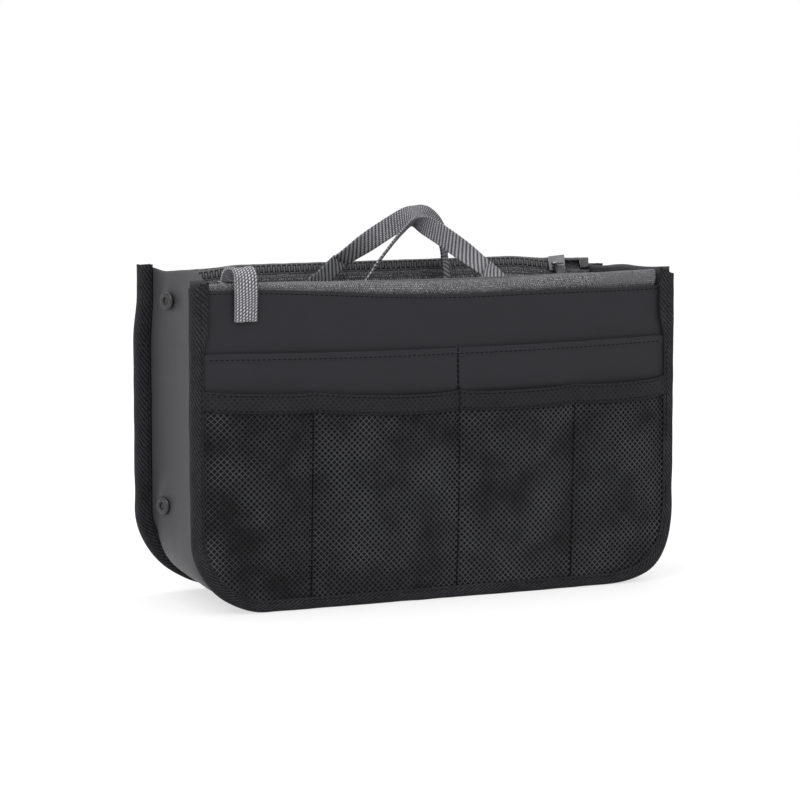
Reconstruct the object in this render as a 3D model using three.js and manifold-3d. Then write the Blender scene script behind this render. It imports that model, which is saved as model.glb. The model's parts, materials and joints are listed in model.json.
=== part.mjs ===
// Purse organizer insert: two zipped compartments joined by a gusset strip, with pockets, handles and snaps.
// Millimetres, +Z up, +X to the right seen from the front, front at -Y.
// The origin is on the floor under the middle of the bag.

import * as THREE from 'three';
import { mergeVertices } from 'three/addons/utils/BufferGeometryUtils.js';
import Module from 'manifold-3d';

const wasm = await Module();
wasm.setup();

// Overall size over the edge bindings, with the bag standing open
const width = 300;
const height = 183;
const depth = 92;
const cornerRadius = 45;

// The rear half stands this much taller than the front one, which slumps a little
const rearRise = 1.016;

// Fabric thicknesses, and the gap between neighbouring pieces
const panelPly = 0.6;
const wallPly = 0.6;
const pocketPly = 0.5;
const meshPly = 0.5;
const gussetPly = 0.7;
const bindingPly = 0.7;
const tapePly = 0.6;
const webbingPly = 0.9;
const ribbonPly = 0.6;
const clearance = 0.3;

// Edge binding and seam
const bindingReach = 10;
const bindingFold = 1.2;
const seamAllowance = 9;

// Outer and inner pockets
const panelCrown = 2.5;
const zipBand = 7;
const slipPocketTop = 143.5;
const meshPocketTop = 119;
const hemHeight = 11;
const innerPocketGap = 6;

// Zip tapes and chain
const tapeRoll = 1.9;
const tapeFlat = 1.6;
const tapeOverlap = 8;
const innerTapeFall = 9;
const wallLap = 3;
const chainLean = THREE.MathUtils.degToRad(12);
const chainWidth = 6;
const chainThickness = 2.4;
const beadWidth = 1.1;
const toothPitch = 3.2;
const toothRoot = 1;
const toothTip = 1.5;
const endTabLength = 7;
const endTabRound = 2;

// Slider and its ribbon
const sliderLength = 11;
const rearSliderShort = 10;
const sliderNoseFlare = 0.6;
const sliderCorner = 1.6;
const sliderPlate = 0.9;
const sliderFlange = 0.9;
const wedgeLength = 3.2;
const wedgeWidth = 2.6;
const bailLength = 8;
const bailWidth = 1.8;
const bailBar = 1;
const bailLeg = 1.2;
const bailRoom = 1.9;
const ribbonWidth = 14.5;
const ribbonGather = 4.6;
const ribbonSpread = 15;
const ribbonHang = 22;
const ribbonArch = 5;
const ribbonShoulder = 1.7;
const ribbonTuck = 1;
const ribbonStandOff = 2;
const ribbonDrift = 7;

// Handles
const webbingWidth = 12;
const sewnSpacing = 92;
const sewnLength = 22;
const sewnDrop = 14;
const flexSpacing = 74;
const flexReach = 19.5;
const flexRise = 1;
const legSlant = THREE.MathUtils.degToRad(25);
const legLean = THREE.MathUtils.degToRad(18);
const legCurve = 24;
const legStart = 8;
const handleRise = 36;
const handleLean = THREE.MathUtils.degToRad(29);
const handleBend = 14;
const handleApex = 9;

// Snap fasteners through the gusset
const snapRadius = 6;
const snapRim = 1.6;
const snapDimple = 1.2;
const snapCrownInner = 3.6;
const snapCrownOuter = 5.1;
const snapPost = 2.3;
const snapBack = 0.9;
const snapBackRadius = 5;
const snapBackFlat = 4;
const snapDrill = 4;
const snapBall = 1.9;
const snapBallNeck = 1.5;
const snapBallHeight = 1.6;
const snapUpperDrop = 14;
const snapLowerHeight = 53;
const socketFromRearSeam = 28;
const lowerSocketShift = 8;
const studGap = 0.8;

// How finely round stretches are divided
const cornerSteps = 6;
const faceColumns = 8;
const faceRows = 5;
const hemRows = 2;
const roundSides = 12;
const ribbonSteps = 9;

// Layers of one half, each given by its outer face's distance in from the outside of the binding
const meshDepth = bindingPly + clearance;
const slipDepth = meshDepth + meshPly + clearance;
const panelDepth = slipDepth + pocketPly + clearance;
const tapeDepth = panelDepth + panelPly + clearance;
const wallDepth = tapeDepth + tapePly + clearance;
const flangeDepth = wallDepth + wallPly + clearance;
const bindingThickness = flangeDepth + gussetPly + clearance + bindingPly;
const hemDepth = meshDepth - clearance - pocketPly;

// Places that several pieces share
const layerEdge = bindingPly + clearance;
const faceHalf = width / 2 - bindingReach - clearance;
const panelTop = height - zipBand;
const gussetInside = seamAllowance + gussetPly;
const outerTapeMiddle = tapeDepth + tapePly / 2;
const rollCentre = new THREE.Vector2(outerTapeMiddle + tapeRoll, height - tapePly / 2 - tapeRoll);
const chainDown = new THREE.Vector2(Math.sin(chainLean), -Math.cos(chainLean));
const chainFace = new THREE.Vector2(Math.cos(chainLean), Math.sin(chainLean));
const rollEnd = rollCentre.clone().addScaledVector(chainFace, tapeRoll);
const chainStart = rollEnd.clone().addScaledVector(chainDown, tapeFlat + clearance);
const innerFlatEnd = chainStart.clone().addScaledVector(chainDown, chainWidth + clearance + tapeFlat);
const innerTapeMiddle = wallDepth + wallPly + clearance + tapePly / 2;
const innerTapeSeam = innerFlatEnd.y - innerTapeFall;
const innerTapeBottom = innerTapeSeam - tapeOverlap;
const wallTop = innerTapeSeam + wallLap;
const sewnTop = innerTapeBottom - sewnDrop;
const innerPocketTop = sewnTop - sewnLength - innerPocketGap;
const zipHalf = width / 2 - gussetInside - snapBack - 3 * clearance;
const tabInner = zipHalf - endTabLength;
const sliderHome = -(tabInner - clearance - sliderLength / 2);
const plateOffset = chainThickness / 2 + clearance;
const bailCentre = plateOffset + sliderPlate + bailRoom + bailBar / 2;

// A fabric colour and its finish
function finish(color, roughness, metalness = 0) {
  return new THREE.MeshStandardMaterial({ color, roughness, metalness });
}

const materials = {
  nylon: finish(0x2e2e32, 0.55),
  mesh: finish(0x1c1c1f, 0.8),
  grosgrain: finish(0x1f1f22, 0.85),
  gusset: finish(0x5a5a5e, 0.6),
  lining: finish(0x6e6e73, 0.65),
  zipTape: finish(0x74747a, 0.85),
  teeth: finish(0x4c4c50, 0.4),
  webbing: finish(0x8a8a90, 0.9),
  metal: finish(0x232326, 0.3, 0.85),
};

// Turns a closed surface so that its faces point out of the body
function facingOut(geometry) {
  const position = geometry.attributes.position;
  const index = geometry.index.array;
  const [a, b, c] = [new THREE.Vector3(), new THREE.Vector3(), new THREE.Vector3()];
  let volume = 0;
  for (let i = 0; i < index.length; i += 3) {
    a.fromBufferAttribute(position, index[i]);
    b.fromBufferAttribute(position, index[i + 1]);
    c.fromBufferAttribute(position, index[i + 2]);
    volume += a.dot(b.cross(c));
  }
  if (volume < 0) {
    for (let i = 0; i < index.length; i += 3) {
      [index[i], index[i + 1]] = [index[i + 1], index[i]];
    }
  }
  return geometry;
}

// A closed body from its corner points and triangles
function bodyOf(points, triangles) {
  const geometry = new THREE.BufferGeometry();
  geometry.setAttribute('position', new THREE.Float32BufferAttribute(points.flatMap((p) => p.toArray()), 3));
  geometry.setIndex(triangles.flat());
  return facingOut(geometry);
}

// The same surface with its shared corners merged and the triangles that collapse left out
function merged(source) {
  const bare = source.clone();
  bare.deleteAttribute('normal');
  bare.deleteAttribute('uv');
  const geometry = mergeVertices(bare);
  const index = geometry.index.array;
  const kept = [];
  for (let i = 0; i < index.length; i += 3) {
    const [a, b, c] = [index[i], index[i + 1], index[i + 2]];
    if (a !== b && b !== c && c !== a) {
      kept.push(a, b, c);
    }
  }
  geometry.setIndex(kept);
  return facingOut(geometry);
}

function manifoldOf(geometry) {
  return new wasm.Manifold(new wasm.Mesh({
    numProp: 3,
    vertProperties: new Float32Array(geometry.attributes.position.array),
    triVerts: new Uint32Array(geometry.index.array),
  }));
}

function geometryOf(manifold) {
  const mesh = manifold.getMesh();
  const geometry = new THREE.BufferGeometry();
  geometry.setAttribute('position', new THREE.Float32BufferAttribute(mesh.vertProperties, 3));
  geometry.setIndex([...mesh.triVerts]);
  return geometry;
}

function joined(geometries) {
  return geometryOf(geometries.map(manifoldOf).reduce((whole, piece) => whole.add(piece)));
}

function cut(geometry, cutters) {
  const tools = cutters.map(manifoldOf);
  return geometryOf(tools.reduce((whole, tool) => whole.subtract(tool), manifoldOf(geometry)));
}

// A closed section carried through a row of rings, one point per section corner in each ring
function sweep(section, rings, twisted = false) {
  const count = section.length;
  const triangles = [];
  for (let ring = 0; ring + 1 < rings.length; ring += 1) {
    for (let corner = 0; corner < count; corner += 1) {
      const a = ring * count + corner;
      const b = ring * count + (corner + 1) % count;
      // Both faces of a twisted strip are split along the same diagonal, so they stay apart
      if (twisted && corner >= count / 2) {
        triangles.push([a, b, b + count], [a, b + count, a + count]);
      } else {
        triangles.push([a, b, a + count], [b, b + count, a + count]);
      }
    }
  }
  const last = (rings.length - 1) * count;
  for (const [a, b, c] of THREE.ShapeUtils.triangulateShape(section, [])) {
    triangles.push([a, c, b], [last + a, last + b, last + c]);
  }
  return bodyOf(rings.flat(), triangles);
}

// Stations down the left side, round the bottom and up the right side, each with its inward direction
function outlineStations(top) {
  const stations = [];
  const station = (x, z, angle) => {
    stations.push({ x, z, inX: -Math.cos(angle), inZ: -Math.sin(angle) });
  };
  station(-width / 2, top, Math.PI);
  for (const [side, from] of [[-1, Math.PI], [1, 1.5 * Math.PI]]) {
    for (let step = 0; step <= cornerSteps; step += 1) {
      const angle = from + (step / cornerSteps) * Math.PI / 2;
      const x = side * (width / 2 - cornerRadius) + cornerRadius * Math.cos(angle);
      station(x, cornerRadius + cornerRadius * Math.sin(angle), angle);
    }
  }
  station(width / 2, top, 2 * Math.PI);
  return stations;
}

// A section of (inset from the outline, depth from the front) carried round the outline
function sweepOutline(section, top) {
  const rings = outlineStations(top).map(({ x, z, inX, inZ }) => section.map(
    (point) => new THREE.Vector3(x + inX * point.x, point.y - depth / 2, z + inZ * point.x),
  ));
  return sweep(section, rings);
}

// A section of (depth, height) carried straight along the zip
function sweepAlong(section, from, to) {
  const ring = (x) => section.map((point) => new THREE.Vector3(x, point.x - depth / 2, point.y));
  return sweep(section, [ring(from), ring(to)]);
}

// The band of a given thickness along a line, as a closed section
function bandSection(line, thickness) {
  const side = (sign) => line.map((point, i) => {
    const before = line[Math.max(i - 1, 0)];
    const after = line[Math.min(i + 1, line.length - 1)];
    const run = after.clone().sub(before).normalize();
    return new THREE.Vector2(point.x - sign * run.y * thickness / 2, point.y + sign * run.x * thickness / 2);
  });
  return [...side(-1), ...side(1).reverse()];
}

// A flat strip through stations, each with a centre, its run along the strip, a direction across and a width
function strip(stations, thickness) {
  const section = [[-1, -1], [1, -1], [1, 1], [-1, 1]].map(([u, v]) => new THREE.Vector2(u, v));
  const rings = stations.map(({ centre, run, across, span }) => {
    const wide = across.clone().addScaledVector(run, -across.dot(run)).normalize();
    const thick = run.clone().cross(wide);
    return section.map(({ x, y }) => centre.clone()
      .addScaledVector(wide, x * span / 2)
      .addScaledVector(thick, y * thickness / 2));
  });
  return sweep(section, rings, true);
}

// How far the outer layers swell at a place on the face
function crownAt(x, z) {
  const across = Math.max(0, 1 - (x / faceHalf) ** 2);
  const up = (z - bindingReach) / (panelTop - bindingReach);
  return panelCrown * across * Math.max(0, 4 * up * (1 - up));
}

// Columns across a layer that follows the outline, each with its lower end
function layerColumns(inset) {
  const columns = [];
  const radius = cornerRadius - inset;
  const straight = width / 2 - cornerRadius;
  for (let step = 0; step < cornerSteps; step += 1) {
    const angle = Math.PI + (step / cornerSteps) * Math.PI / 2;
    columns.push({ x: -straight + radius * Math.cos(angle), low: cornerRadius + radius * Math.sin(angle) });
  }
  for (let step = 0; step <= faceColumns; step += 1) {
    columns.push({ x: straight * (2 * step / faceColumns - 1), low: inset });
  }
  const corner = columns.slice(0, cornerSteps).reverse();
  return [...columns, ...corner.map(({ x, low }) => ({ x: -x, low }))];
}

// A crowned fabric layer between the lower ends of its columns and a level top, flat along its lower edge
function crownedLayer({ columns, rows, edge, top, outerFace, ply }) {
  const points = [];
  const triangles = [];
  const at = (column, row, back) => 2 * (column * (rows + 1) + row) + back;
  const quad = (a, b, c, d) => triangles.push([a, b, c], [a, c, d]);
  for (const { x, low } of columns) {
    for (let row = 0; row <= rows; row += 1) {
      const z = row === 0 ? low : THREE.MathUtils.lerp(low + edge, top, (row - 1) / (rows - 1));
      const y = outerFace - depth / 2 - crownAt(x, z);
      points.push(new THREE.Vector3(x, y, z), new THREE.Vector3(x, y + ply, z));
    }
  }
  const lastColumn = columns.length - 1;
  for (let column = 0; column < lastColumn; column += 1) {
    for (let row = 0; row < rows; row += 1) {
      quad(at(column, row, 0), at(column + 1, row, 0), at(column + 1, row + 1, 0), at(column, row + 1, 0));
      quad(at(column, row, 1), at(column, row + 1, 1), at(column + 1, row + 1, 1), at(column + 1, row, 1));
    }
    quad(at(column, 0, 0), at(column, 0, 1), at(column + 1, 0, 1), at(column + 1, 0, 0));
    quad(at(column, rows, 0), at(column + 1, rows, 0), at(column + 1, rows, 1), at(column, rows, 1));
  }
  for (let row = 0; row < rows; row += 1) {
    quad(at(0, row, 0), at(0, row + 1, 0), at(0, row + 1, 1), at(0, row, 1));
    quad(
      at(lastColumn, row, 0), at(lastColumn, row, 1),
      at(lastColumn, row + 1, 1), at(lastColumn, row + 1, 0),
    );
  }
  return bodyOf(points, triangles);
}

// A flat fabric layer that follows the outline at an inset, up to a level top.
// An arc is drawn with twice its curve segments, so its facets match those of the binding.
function flatLayer(inset, top, outerFace, ply) {
  const half = width / 2 - inset;
  const radius = cornerRadius - inset;
  const straight = width / 2 - cornerRadius;
  const outline = new THREE.Shape();
  outline.moveTo(-half, top);
  outline.lineTo(-half, cornerRadius);
  outline.absarc(-straight, cornerRadius, radius, Math.PI, 1.5 * Math.PI, false);
  outline.absarc(straight, cornerRadius, radius, 1.5 * Math.PI, 2 * Math.PI, false);
  outline.lineTo(half, top);
  const geometry = new THREE.ExtrudeGeometry(outline, {
    depth: ply, bevelEnabled: false, curveSegments: cornerSteps / 2,
  });
  geometry.rotateX(Math.PI / 2);
  geometry.translate(0, outerFace + ply - depth / 2, 0);
  return merged(geometry);
}

// The folded binding tape: a channel over the edges of every layer in the seam
function bindingGeometry() {
  const inner = bindingThickness - bindingPly;
  const chamfer = bindingFold * (1 - Math.SQRT1_2);
  const innerReach = seamAllowance - clearance;
  const section = [
    [bindingReach, 0], [bindingReach, bindingPly], [bindingPly, bindingPly], [bindingPly, inner],
    [innerReach, inner], [innerReach, bindingThickness], [bindingFold, bindingThickness],
    [chamfer, bindingThickness - chamfer], [0, bindingThickness - bindingFold],
    [0, bindingFold], [chamfer, chamfer], [bindingFold, 0],
  ].map(([inset, deep]) => new THREE.Vector2(inset, deep));
  return sweepOutline(section, height);
}

// The gusset: a strip round the ends and the floor, its edges turned out into both seams
function gussetGeometry() {
  const front = flangeDepth;
  const rear = depth - flangeDepth;
  const section = [
    [layerEdge, front], [gussetInside, front], [gussetInside, rear], [layerEdge, rear],
    [layerEdge, rear - gussetPly], [seamAllowance, rear - gussetPly],
    [seamAllowance, front + gussetPly], [layerEdge, front + gussetPly],
  ].map(([inset, deep]) => new THREE.Vector2(inset, deep));
  const channel = sweepOutline(section, height);
  return cut(channel, snapPlaces.map(({ side, y, z }) => {
    const radius = snapPost + clearance;
    const hole = new THREE.CylinderGeometry(radius, radius, snapDrill, roundSides);
    hole.rotateZ(Math.PI / 2);
    hole.translate(side * (width / 2 - seamAllowance - gussetPly / 2), y, z);
    return merged(hole);
  }));
}

// Where the snaps sit: sockets towards the rear seam, studs just behind the front binding
const socketY = depth / 2 - flangeDepth - socketFromRearSeam;
const studY = -depth / 2 + bindingThickness + studGap + snapRadius;
const snapLevels = [['upper', height - snapUpperDrop, 0], ['lower', snapLowerHeight, lowerSocketShift]];
const snapPair = (hand, side) => snapLevels.flatMap(([level, z, shift]) => [
  { name: `${hand}_${level}_snap_socket`, side, y: socketY + shift, z, ball: false },
  { name: `${hand}_${level}_snap_stud`, side, y: studY, z, ball: true },
]);
const snapPlaces = [...snapPair('left', -1), ...snapPair('right', 1)];

// A snap half: a domed rim outside the gusset, a post through it and a washer inside
function snapGeometry(ball) {
  const outside = clearance;
  const inside = -gussetPly - clearance;
  const rimTop = outside + snapRim;
  const ballTop = rimTop + snapBallHeight;
  const dimple = rimTop - snapDimple;
  const centre = ball
    ? [[0, ballTop], [snapBallNeck, ballTop], [snapBall, rimTop + snapBallHeight / 2],
      [snapBallNeck, outside + snapRim / 2]]
    : [[0, dimple], [snapPost, dimple], [snapPost, rimTop]];
  const profile = [
    ...centre,
    [snapCrownInner, rimTop], [snapCrownOuter, rimTop], [snapRadius, outside + snapRim / 2],
    [snapRadius, outside], [snapPost, outside], [snapPost, inside],
    [snapBackRadius, inside], [snapBackRadius, inside - snapBack / 2], [snapBackFlat, inside - snapBack],
    [0, inside - snapBack],
  ].map(([radius, along]) => new THREE.Vector2(radius, along));
  return merged(new THREE.LatheGeometry(profile.reverse(), roundSides));
}

// Outer tape: up behind the panel, rolled over the top and down to the chain
function outerTapeGeometry() {
  const line = [new THREE.Vector2(outerTapeMiddle, panelTop - tapeOverlap)];
  for (let step = 0; step <= cornerSteps; step += 1) {
    const angle = Math.PI - (step / cornerSteps) * (Math.PI - chainLean);
    const spoke = new THREE.Vector2(Math.cos(angle), Math.sin(angle));
    line.push(rollCentre.clone().addScaledVector(spoke, tapeRoll));
  }
  line.push(rollEnd.clone().addScaledVector(chainDown, tapeFlat));
  return sweepAlong(bandSection(line, tapePly), -zipHalf, zipHalf);
}

// Inner tape: from the chain in to the inner wall and down along it
function innerTapeGeometry() {
  const line = [
    innerFlatEnd.clone().addScaledVector(chainDown, -tapeFlat),
    innerFlatEnd,
    new THREE.Vector2(innerTapeMiddle, innerTapeSeam),
    new THREE.Vector2(innerTapeMiddle, innerTapeBottom),
  ];
  return sweepAlong(bandSection(line, tapePly), -zipHalf, zipHalf);
}

// One row of dovetail teeth on its bead, drawn across the chain from the bead's outer edge
function teethGeometry(from, firstTooth, bead) {
  const to = tabInner - clearance;
  const reach = chainWidth - beadWidth - clearance;
  const shape = new THREE.Shape();
  shape.moveTo(from, 0);
  shape.lineTo(from, beadWidth);
  for (let x = firstTooth; x + toothTip / 2 < to; x += toothPitch) {
    shape.lineTo(x - toothRoot / 2, beadWidth);
    shape.lineTo(x - toothTip / 2, reach);
    shape.lineTo(x + toothTip / 2, reach);
    shape.lineTo(x + toothRoot / 2, beadWidth);
  }
  shape.lineTo(to, beadWidth);
  shape.lineTo(to, 0);
  const geometry = new THREE.ExtrudeGeometry(shape, { depth: chainThickness, bevelEnabled: false });
  geometry.translate(0, 0, -chainThickness / 2);
  if (bead === 'lower') {
    geometry.scale(1, -1, 1);
    geometry.translate(0, chainWidth, 0);
  }
  return merged(geometry);
}

// An end tab: a rounded plug that fills the chain's place past its last teeth
function endTabGeometry() {
  const half = endTabLength / 2 - clearance;
  const round = endTabRound;
  const shape = new THREE.Shape();
  shape.moveTo(-half, 0);
  shape.lineTo(half - round, 0);
  shape.absarc(half - round, round, round, -Math.PI / 2, 0, false);
  shape.lineTo(half, chainWidth - round);
  shape.absarc(half - round, chainWidth - round, round, 0, Math.PI / 2, false);
  shape.lineTo(-half, chainWidth);
  const geometry = new THREE.ExtrudeGeometry(shape, {
    depth: chainThickness, bevelEnabled: false, curveSegments: cornerSteps,
  });
  geometry.translate(0, 0, -chainThickness / 2);
  return merged(geometry);
}

// A block between two corners, to be joined with others
function block(x0, x1, y0, y1, z0, z1) {
  const geometry = new THREE.BoxGeometry(x1 - x0, y1 - y0, z1 - z0);
  geometry.translate((x0 + x1) / 2, (y0 + y1) / 2, (z0 + z1) / 2);
  return merged(geometry);
}

// One slider plate with its two side flanges, on the face side of the chain
function sliderPlateGeometry() {
  const tail = chainWidth / 2 + clearance + sliderFlange;
  const nose = tail + sliderNoseFlare;
  const end = sliderLength / 2;
  const shape = new THREE.Shape();
  shape.moveTo(end, -tail + sliderCorner);
  shape.lineTo(end, tail - sliderCorner);
  shape.quadraticCurveTo(end, tail, end - sliderCorner, tail);
  shape.lineTo(-end + sliderCorner, nose);
  shape.quadraticCurveTo(-end, nose, -end, nose - sliderCorner);
  shape.lineTo(-end, -nose + sliderCorner);
  shape.quadraticCurveTo(-end, -nose, -end + sliderCorner, -nose);
  shape.lineTo(end - sliderCorner, -tail);
  shape.quadraticCurveTo(end, -tail, end, -tail + sliderCorner);
  const plate = new THREE.ExtrudeGeometry(shape, {
    depth: sliderPlate, bevelEnabled: false, curveSegments: cornerSteps / 2,
  });
  plate.translate(0, chainWidth / 2, plateOffset);
  const slit = tapePly / 2 + clearance;
  const flanges = [-1, 1].map((side) => {
    const edges = [side * (tail - sliderFlange), side * tail].sort((a, b) => a - b);
    const [near, far] = edges.map((edge) => edge + chainWidth / 2);
    return block(-end + sliderCorner, end - sliderCorner, near, far, slit, plateOffset + sliderPlate / 2);
  });
  return [merged(plate), ...flanges];
}

// The wedge that holds the two plates together, ahead of the closed teeth
function wedgeGeometry() {
  const shape = new THREE.Shape();
  const middle = -clearance - wedgeLength / 2;
  shape.moveTo(middle - wedgeLength / 2, 0);
  shape.lineTo(middle, -wedgeWidth / 2);
  shape.lineTo(middle + wedgeLength / 2, 0);
  shape.lineTo(middle, wedgeWidth / 2);
  const span = 2 * plateOffset + sliderPlate;
  const geometry = new THREE.ExtrudeGeometry(shape, { depth: span, bevelEnabled: false });
  geometry.translate(0, chainWidth / 2, -span / 2);
  return merged(geometry);
}

// The bail: an arch along the slider that the ribbon is looped under
function bailGeometry() {
  const foot = plateOffset + sliderPlate / 2;
  const crown = bailCentre + bailBar / 2;
  const under = crown - bailBar;
  const half = bailLength / 2;
  const shape = new THREE.Shape();
  shape.moveTo(-half, foot);
  shape.lineTo(-half, under);
  shape.lineTo(-half + bailLeg, crown);
  shape.lineTo(half - bailLeg, crown);
  shape.lineTo(half, under);
  shape.lineTo(half, foot);
  shape.lineTo(half - bailLeg, foot);
  shape.lineTo(half - bailLeg, under);
  shape.lineTo(-half + bailLeg, under);
  shape.lineTo(-half + bailLeg, foot);
  const geometry = new THREE.ExtrudeGeometry(shape, { depth: bailWidth, bevelEnabled: false });
  geometry.rotateX(Math.PI / 2);
  geometry.translate(0, chainWidth / 2 + bailWidth / 2, 0);
  return merged(geometry);
}

function sliderGeometry() {
  const face = sliderPlateGeometry();
  const back = face.map((piece) => merged(piece.clone().scale(1, 1, -1)));
  return joined([...face, ...back, wedgeGeometry(), bailGeometry()]);
}

// The bail's bar as seen along the zip, in (depth, height)
const bailBarPlace = chainStart.clone()
  .addScaledVector(chainDown, chainWidth / 2)
  .addScaledVector(chainFace, bailCentre);

// The ribbon's course seen along the zip: over the top and down the front, or straight down inside
function ribbonCourse(overTheTop) {
  const { x: barDepth, y: barHeight } = bailBarPlace;
  const front = panelDepth - ribbonStandOff;
  const inside = barDepth + ribbonStandOff / 2;
  const points = overTheTop
    ? [
      [barDepth, barHeight], [barDepth - ribbonTuck, height], [(barDepth + front) / 2, height + ribbonArch],
      [front + ribbonTuck, height + ribbonShoulder], [front, height - ribbonArch],
      [front, height - ribbonHang],
    ]
    : [[barDepth, barHeight], [inside, barHeight - ribbonArch], [inside, barHeight - ribbonHang]];
  return new THREE.SplineCurve(points.map(([deep, high]) => new THREE.Vector2(deep, high)));
}

// The pull ribbon: looped round the bail's bar, its two layers lying together along the course
function ribbonGeometry(overTheTop) {
  const course = ribbonCourse(overTheTop);
  const length = course.getLength();
  const loop = Math.hypot(bailBar, bailWidth) / 2 + clearance + ribbonPly / 2;
  const apart = (ribbonPly + clearance) / 2;
  const steps = 2 * ribbonSteps;
  const drift = overTheTop ? ribbonDrift : -ribbonDrift;
  const place = (share, side) => {
    const along = share * length;
    const run = course.getTangentAt(share);
    const offset = side * (apart + (loop - apart) * Math.exp(-((along / (2 * loop)) ** 2)));
    const { x: deep, y: high } = course.getPointAt(share);
    const spread = THREE.MathUtils.smoothstep(along, 2 * loop, ribbonSpread);
    return {
      centre: new THREE.Vector3(drift * spread, deep - offset * run.y - depth / 2, high + offset * run.x),
      run: new THREE.Vector3(0, -side * run.x, -side * run.y),
      across: new THREE.Vector3(1, 0, 0),
      span: THREE.MathUtils.lerp(ribbonGather, ribbonWidth, spread),
    };
  };
  const turn = [];
  const first = course.getTangentAt(0);
  for (let step = 1; step < cornerSteps; step += 1) {
    const angle = Math.atan2(first.y, first.x) + Math.PI / 2 + (step / cornerSteps) * Math.PI;
    turn.push({
      centre: new THREE.Vector3(
        0,
        bailBarPlace.x + loop * Math.cos(angle) - depth / 2,
        bailBarPlace.y + loop * Math.sin(angle),
      ),
      run: new THREE.Vector3(0, -Math.sin(angle), Math.cos(angle)),
      across: new THREE.Vector3(1, 0, 0),
      span: ribbonGather,
    });
  }
  const layer = (side) => Array.from({ length: steps + 1 }, (_, step) => place(step / steps, side));
  return strip([...layer(1).reverse(), ...turn, ...layer(-1)], ribbonPly);
}

// One sewn end of a handle: flat on the inner wall, then rising clear of the zip to the flex line
function handleEndGeometry(side) {
  const lying = wallDepth + wallPly + clearance + webbingPly / 2 - depth / 2;
  const sewn = new THREE.Vector3(side * sewnSpacing / 2, lying, sewnTop);
  const flex = new THREE.Vector3(side * flexSpacing / 2, flexReach - depth / 2, height + flexRise);
  const run = new THREE.Vector3(-side * Math.sin(legSlant), Math.sin(legLean), Math.cos(legSlant));
  run.normalize();
  const end = flex.clone().addScaledVector(run, -clearance);
  const curve = new THREE.CubicBezierCurve3(
    sewn,
    sewn.clone().setZ(sewnTop + legStart),
    end.clone().addScaledVector(run, -legCurve),
    end,
  );
  const across = new THREE.Vector3(1, 0, 0);
  const up = new THREE.Vector3(0, 0, 1);
  const bottom = sewn.clone().addScaledVector(up, -sewnLength);
  const stations = [{ centre: bottom, run: up, across, span: webbingWidth }];
  for (let step = 0; step <= ribbonSteps; step += 1) {
    const share = step / ribbonSteps;
    const centre = curve.getPoint(share);
    stations.push({ centre, run: curve.getTangent(share), across, span: webbingWidth });
  }
  return strip(stations, webbingPly);
}

// The free arch of a handle in its own plane: flat at the flex line, turned edge-on to the plane at the top
function handleLoopGeometry() {
  const half = flexSpacing / 2;
  const bend = new THREE.Vector2(Math.sin(legSlant), Math.cos(legSlant)).multiplyScalar(handleBend);
  const leg = new THREE.CubicBezierCurve(
    new THREE.Vector2(-half, 0),
    new THREE.Vector2(-half + bend.x, bend.y),
    new THREE.Vector2(-handleApex, handleRise),
    new THREE.Vector2(0, handleRise),
  );
  const station = (share, side) => {
    const point = leg.getPoint(share);
    const run = leg.getTangent(share);
    const twist = THREE.MathUtils.smoothstep(share, 0, 1) * Math.PI / 2;
    const flat = Math.cos(twist);
    return {
      centre: new THREE.Vector3(-side * point.x, 0, point.y),
      run: new THREE.Vector3(run.x, 0, -side * run.y),
      across: new THREE.Vector3(side * run.y * flat, -Math.sin(twist), run.x * flat),
      span: webbingWidth,
    };
  };
  const shares = Array.from({ length: ribbonSteps + 1 }, (_, step) => step / ribbonSteps);
  const left = shares.map((share) => station(share, -1));
  const right = shares.slice(0, -1).reverse().map((share) => station(share, 1));
  return strip([...left, ...right], webbingPly);
}

function mesh(name, geometry, material) {
  const piece = new THREE.Mesh(geometry, material);
  piece.name = name;
  return piece;
}

// The zip of one half: tapes in the half's frame, the chain in a frame that leans with it
function buildZip(name, pullOverTheTop) {
  const zip = new THREE.Group();
  zip.add(mesh(`${name}_zip_outer_tape`, outerTapeGeometry(), materials.zipTape));
  zip.add(mesh(`${name}_zip_inner_tape`, innerTapeGeometry(), materials.zipTape));

  const chain = new THREE.Group();
  chain.position.set(0, chainStart.x - depth / 2, chainStart.y);
  chain.rotation.x = chainLean - Math.PI / 2;
  const home = sliderHome + (pullOverTheTop ? 0 : rearSliderShort);
  const firstTooth = home + toothPitch / 2;
  chain.add(mesh(`${name}_zip_outer_teeth`, teethGeometry(home, firstTooth, 'upper'), materials.teeth));
  const facingTooth = firstTooth + toothPitch / 2;
  chain.add(mesh(`${name}_zip_inner_teeth`, teethGeometry(home, facingTooth, 'lower'), materials.teeth));
  for (const [end, side] of [['closed', -1], ['open', 1]]) {
    const tab = mesh(`${name}_zip_${end}_end_tab`, endTabGeometry(), materials.grosgrain);
    tab.position.x = side * (tabInner + endTabLength / 2);
    tab.rotation.y = side < 0 ? Math.PI : 0;
    chain.add(tab);
  }
  const slider = mesh(`${name}_slider`, sliderGeometry(), materials.metal);
  slider.position.x = home;
  chain.add(slider);
  zip.add(chain);

  const ribbon = mesh(`${name}_pull_ribbon`, ribbonGeometry(pullOverTheTop), materials.webbing);
  ribbon.position.x = home;
  zip.add(ribbon);
  return zip;
}

// The handle of one half: two sewn ends and the loop that leans in from the flex line
function buildHandle(name) {
  const handle = new THREE.Group();
  for (const [hand, side] of [['left', -1], ['right', 1]]) {
    handle.add(mesh(`${name}_handle_${hand}_end`, handleEndGeometry(side), materials.webbing));
  }
  const loop = mesh(`${name}_handle_loop`, handleLoopGeometry(), materials.webbing);
  loop.position.set(0, flexReach - depth / 2, height + flexRise);
  loop.rotation.x = -handleLean;
  handle.add(loop);
  return handle;
}

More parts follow.
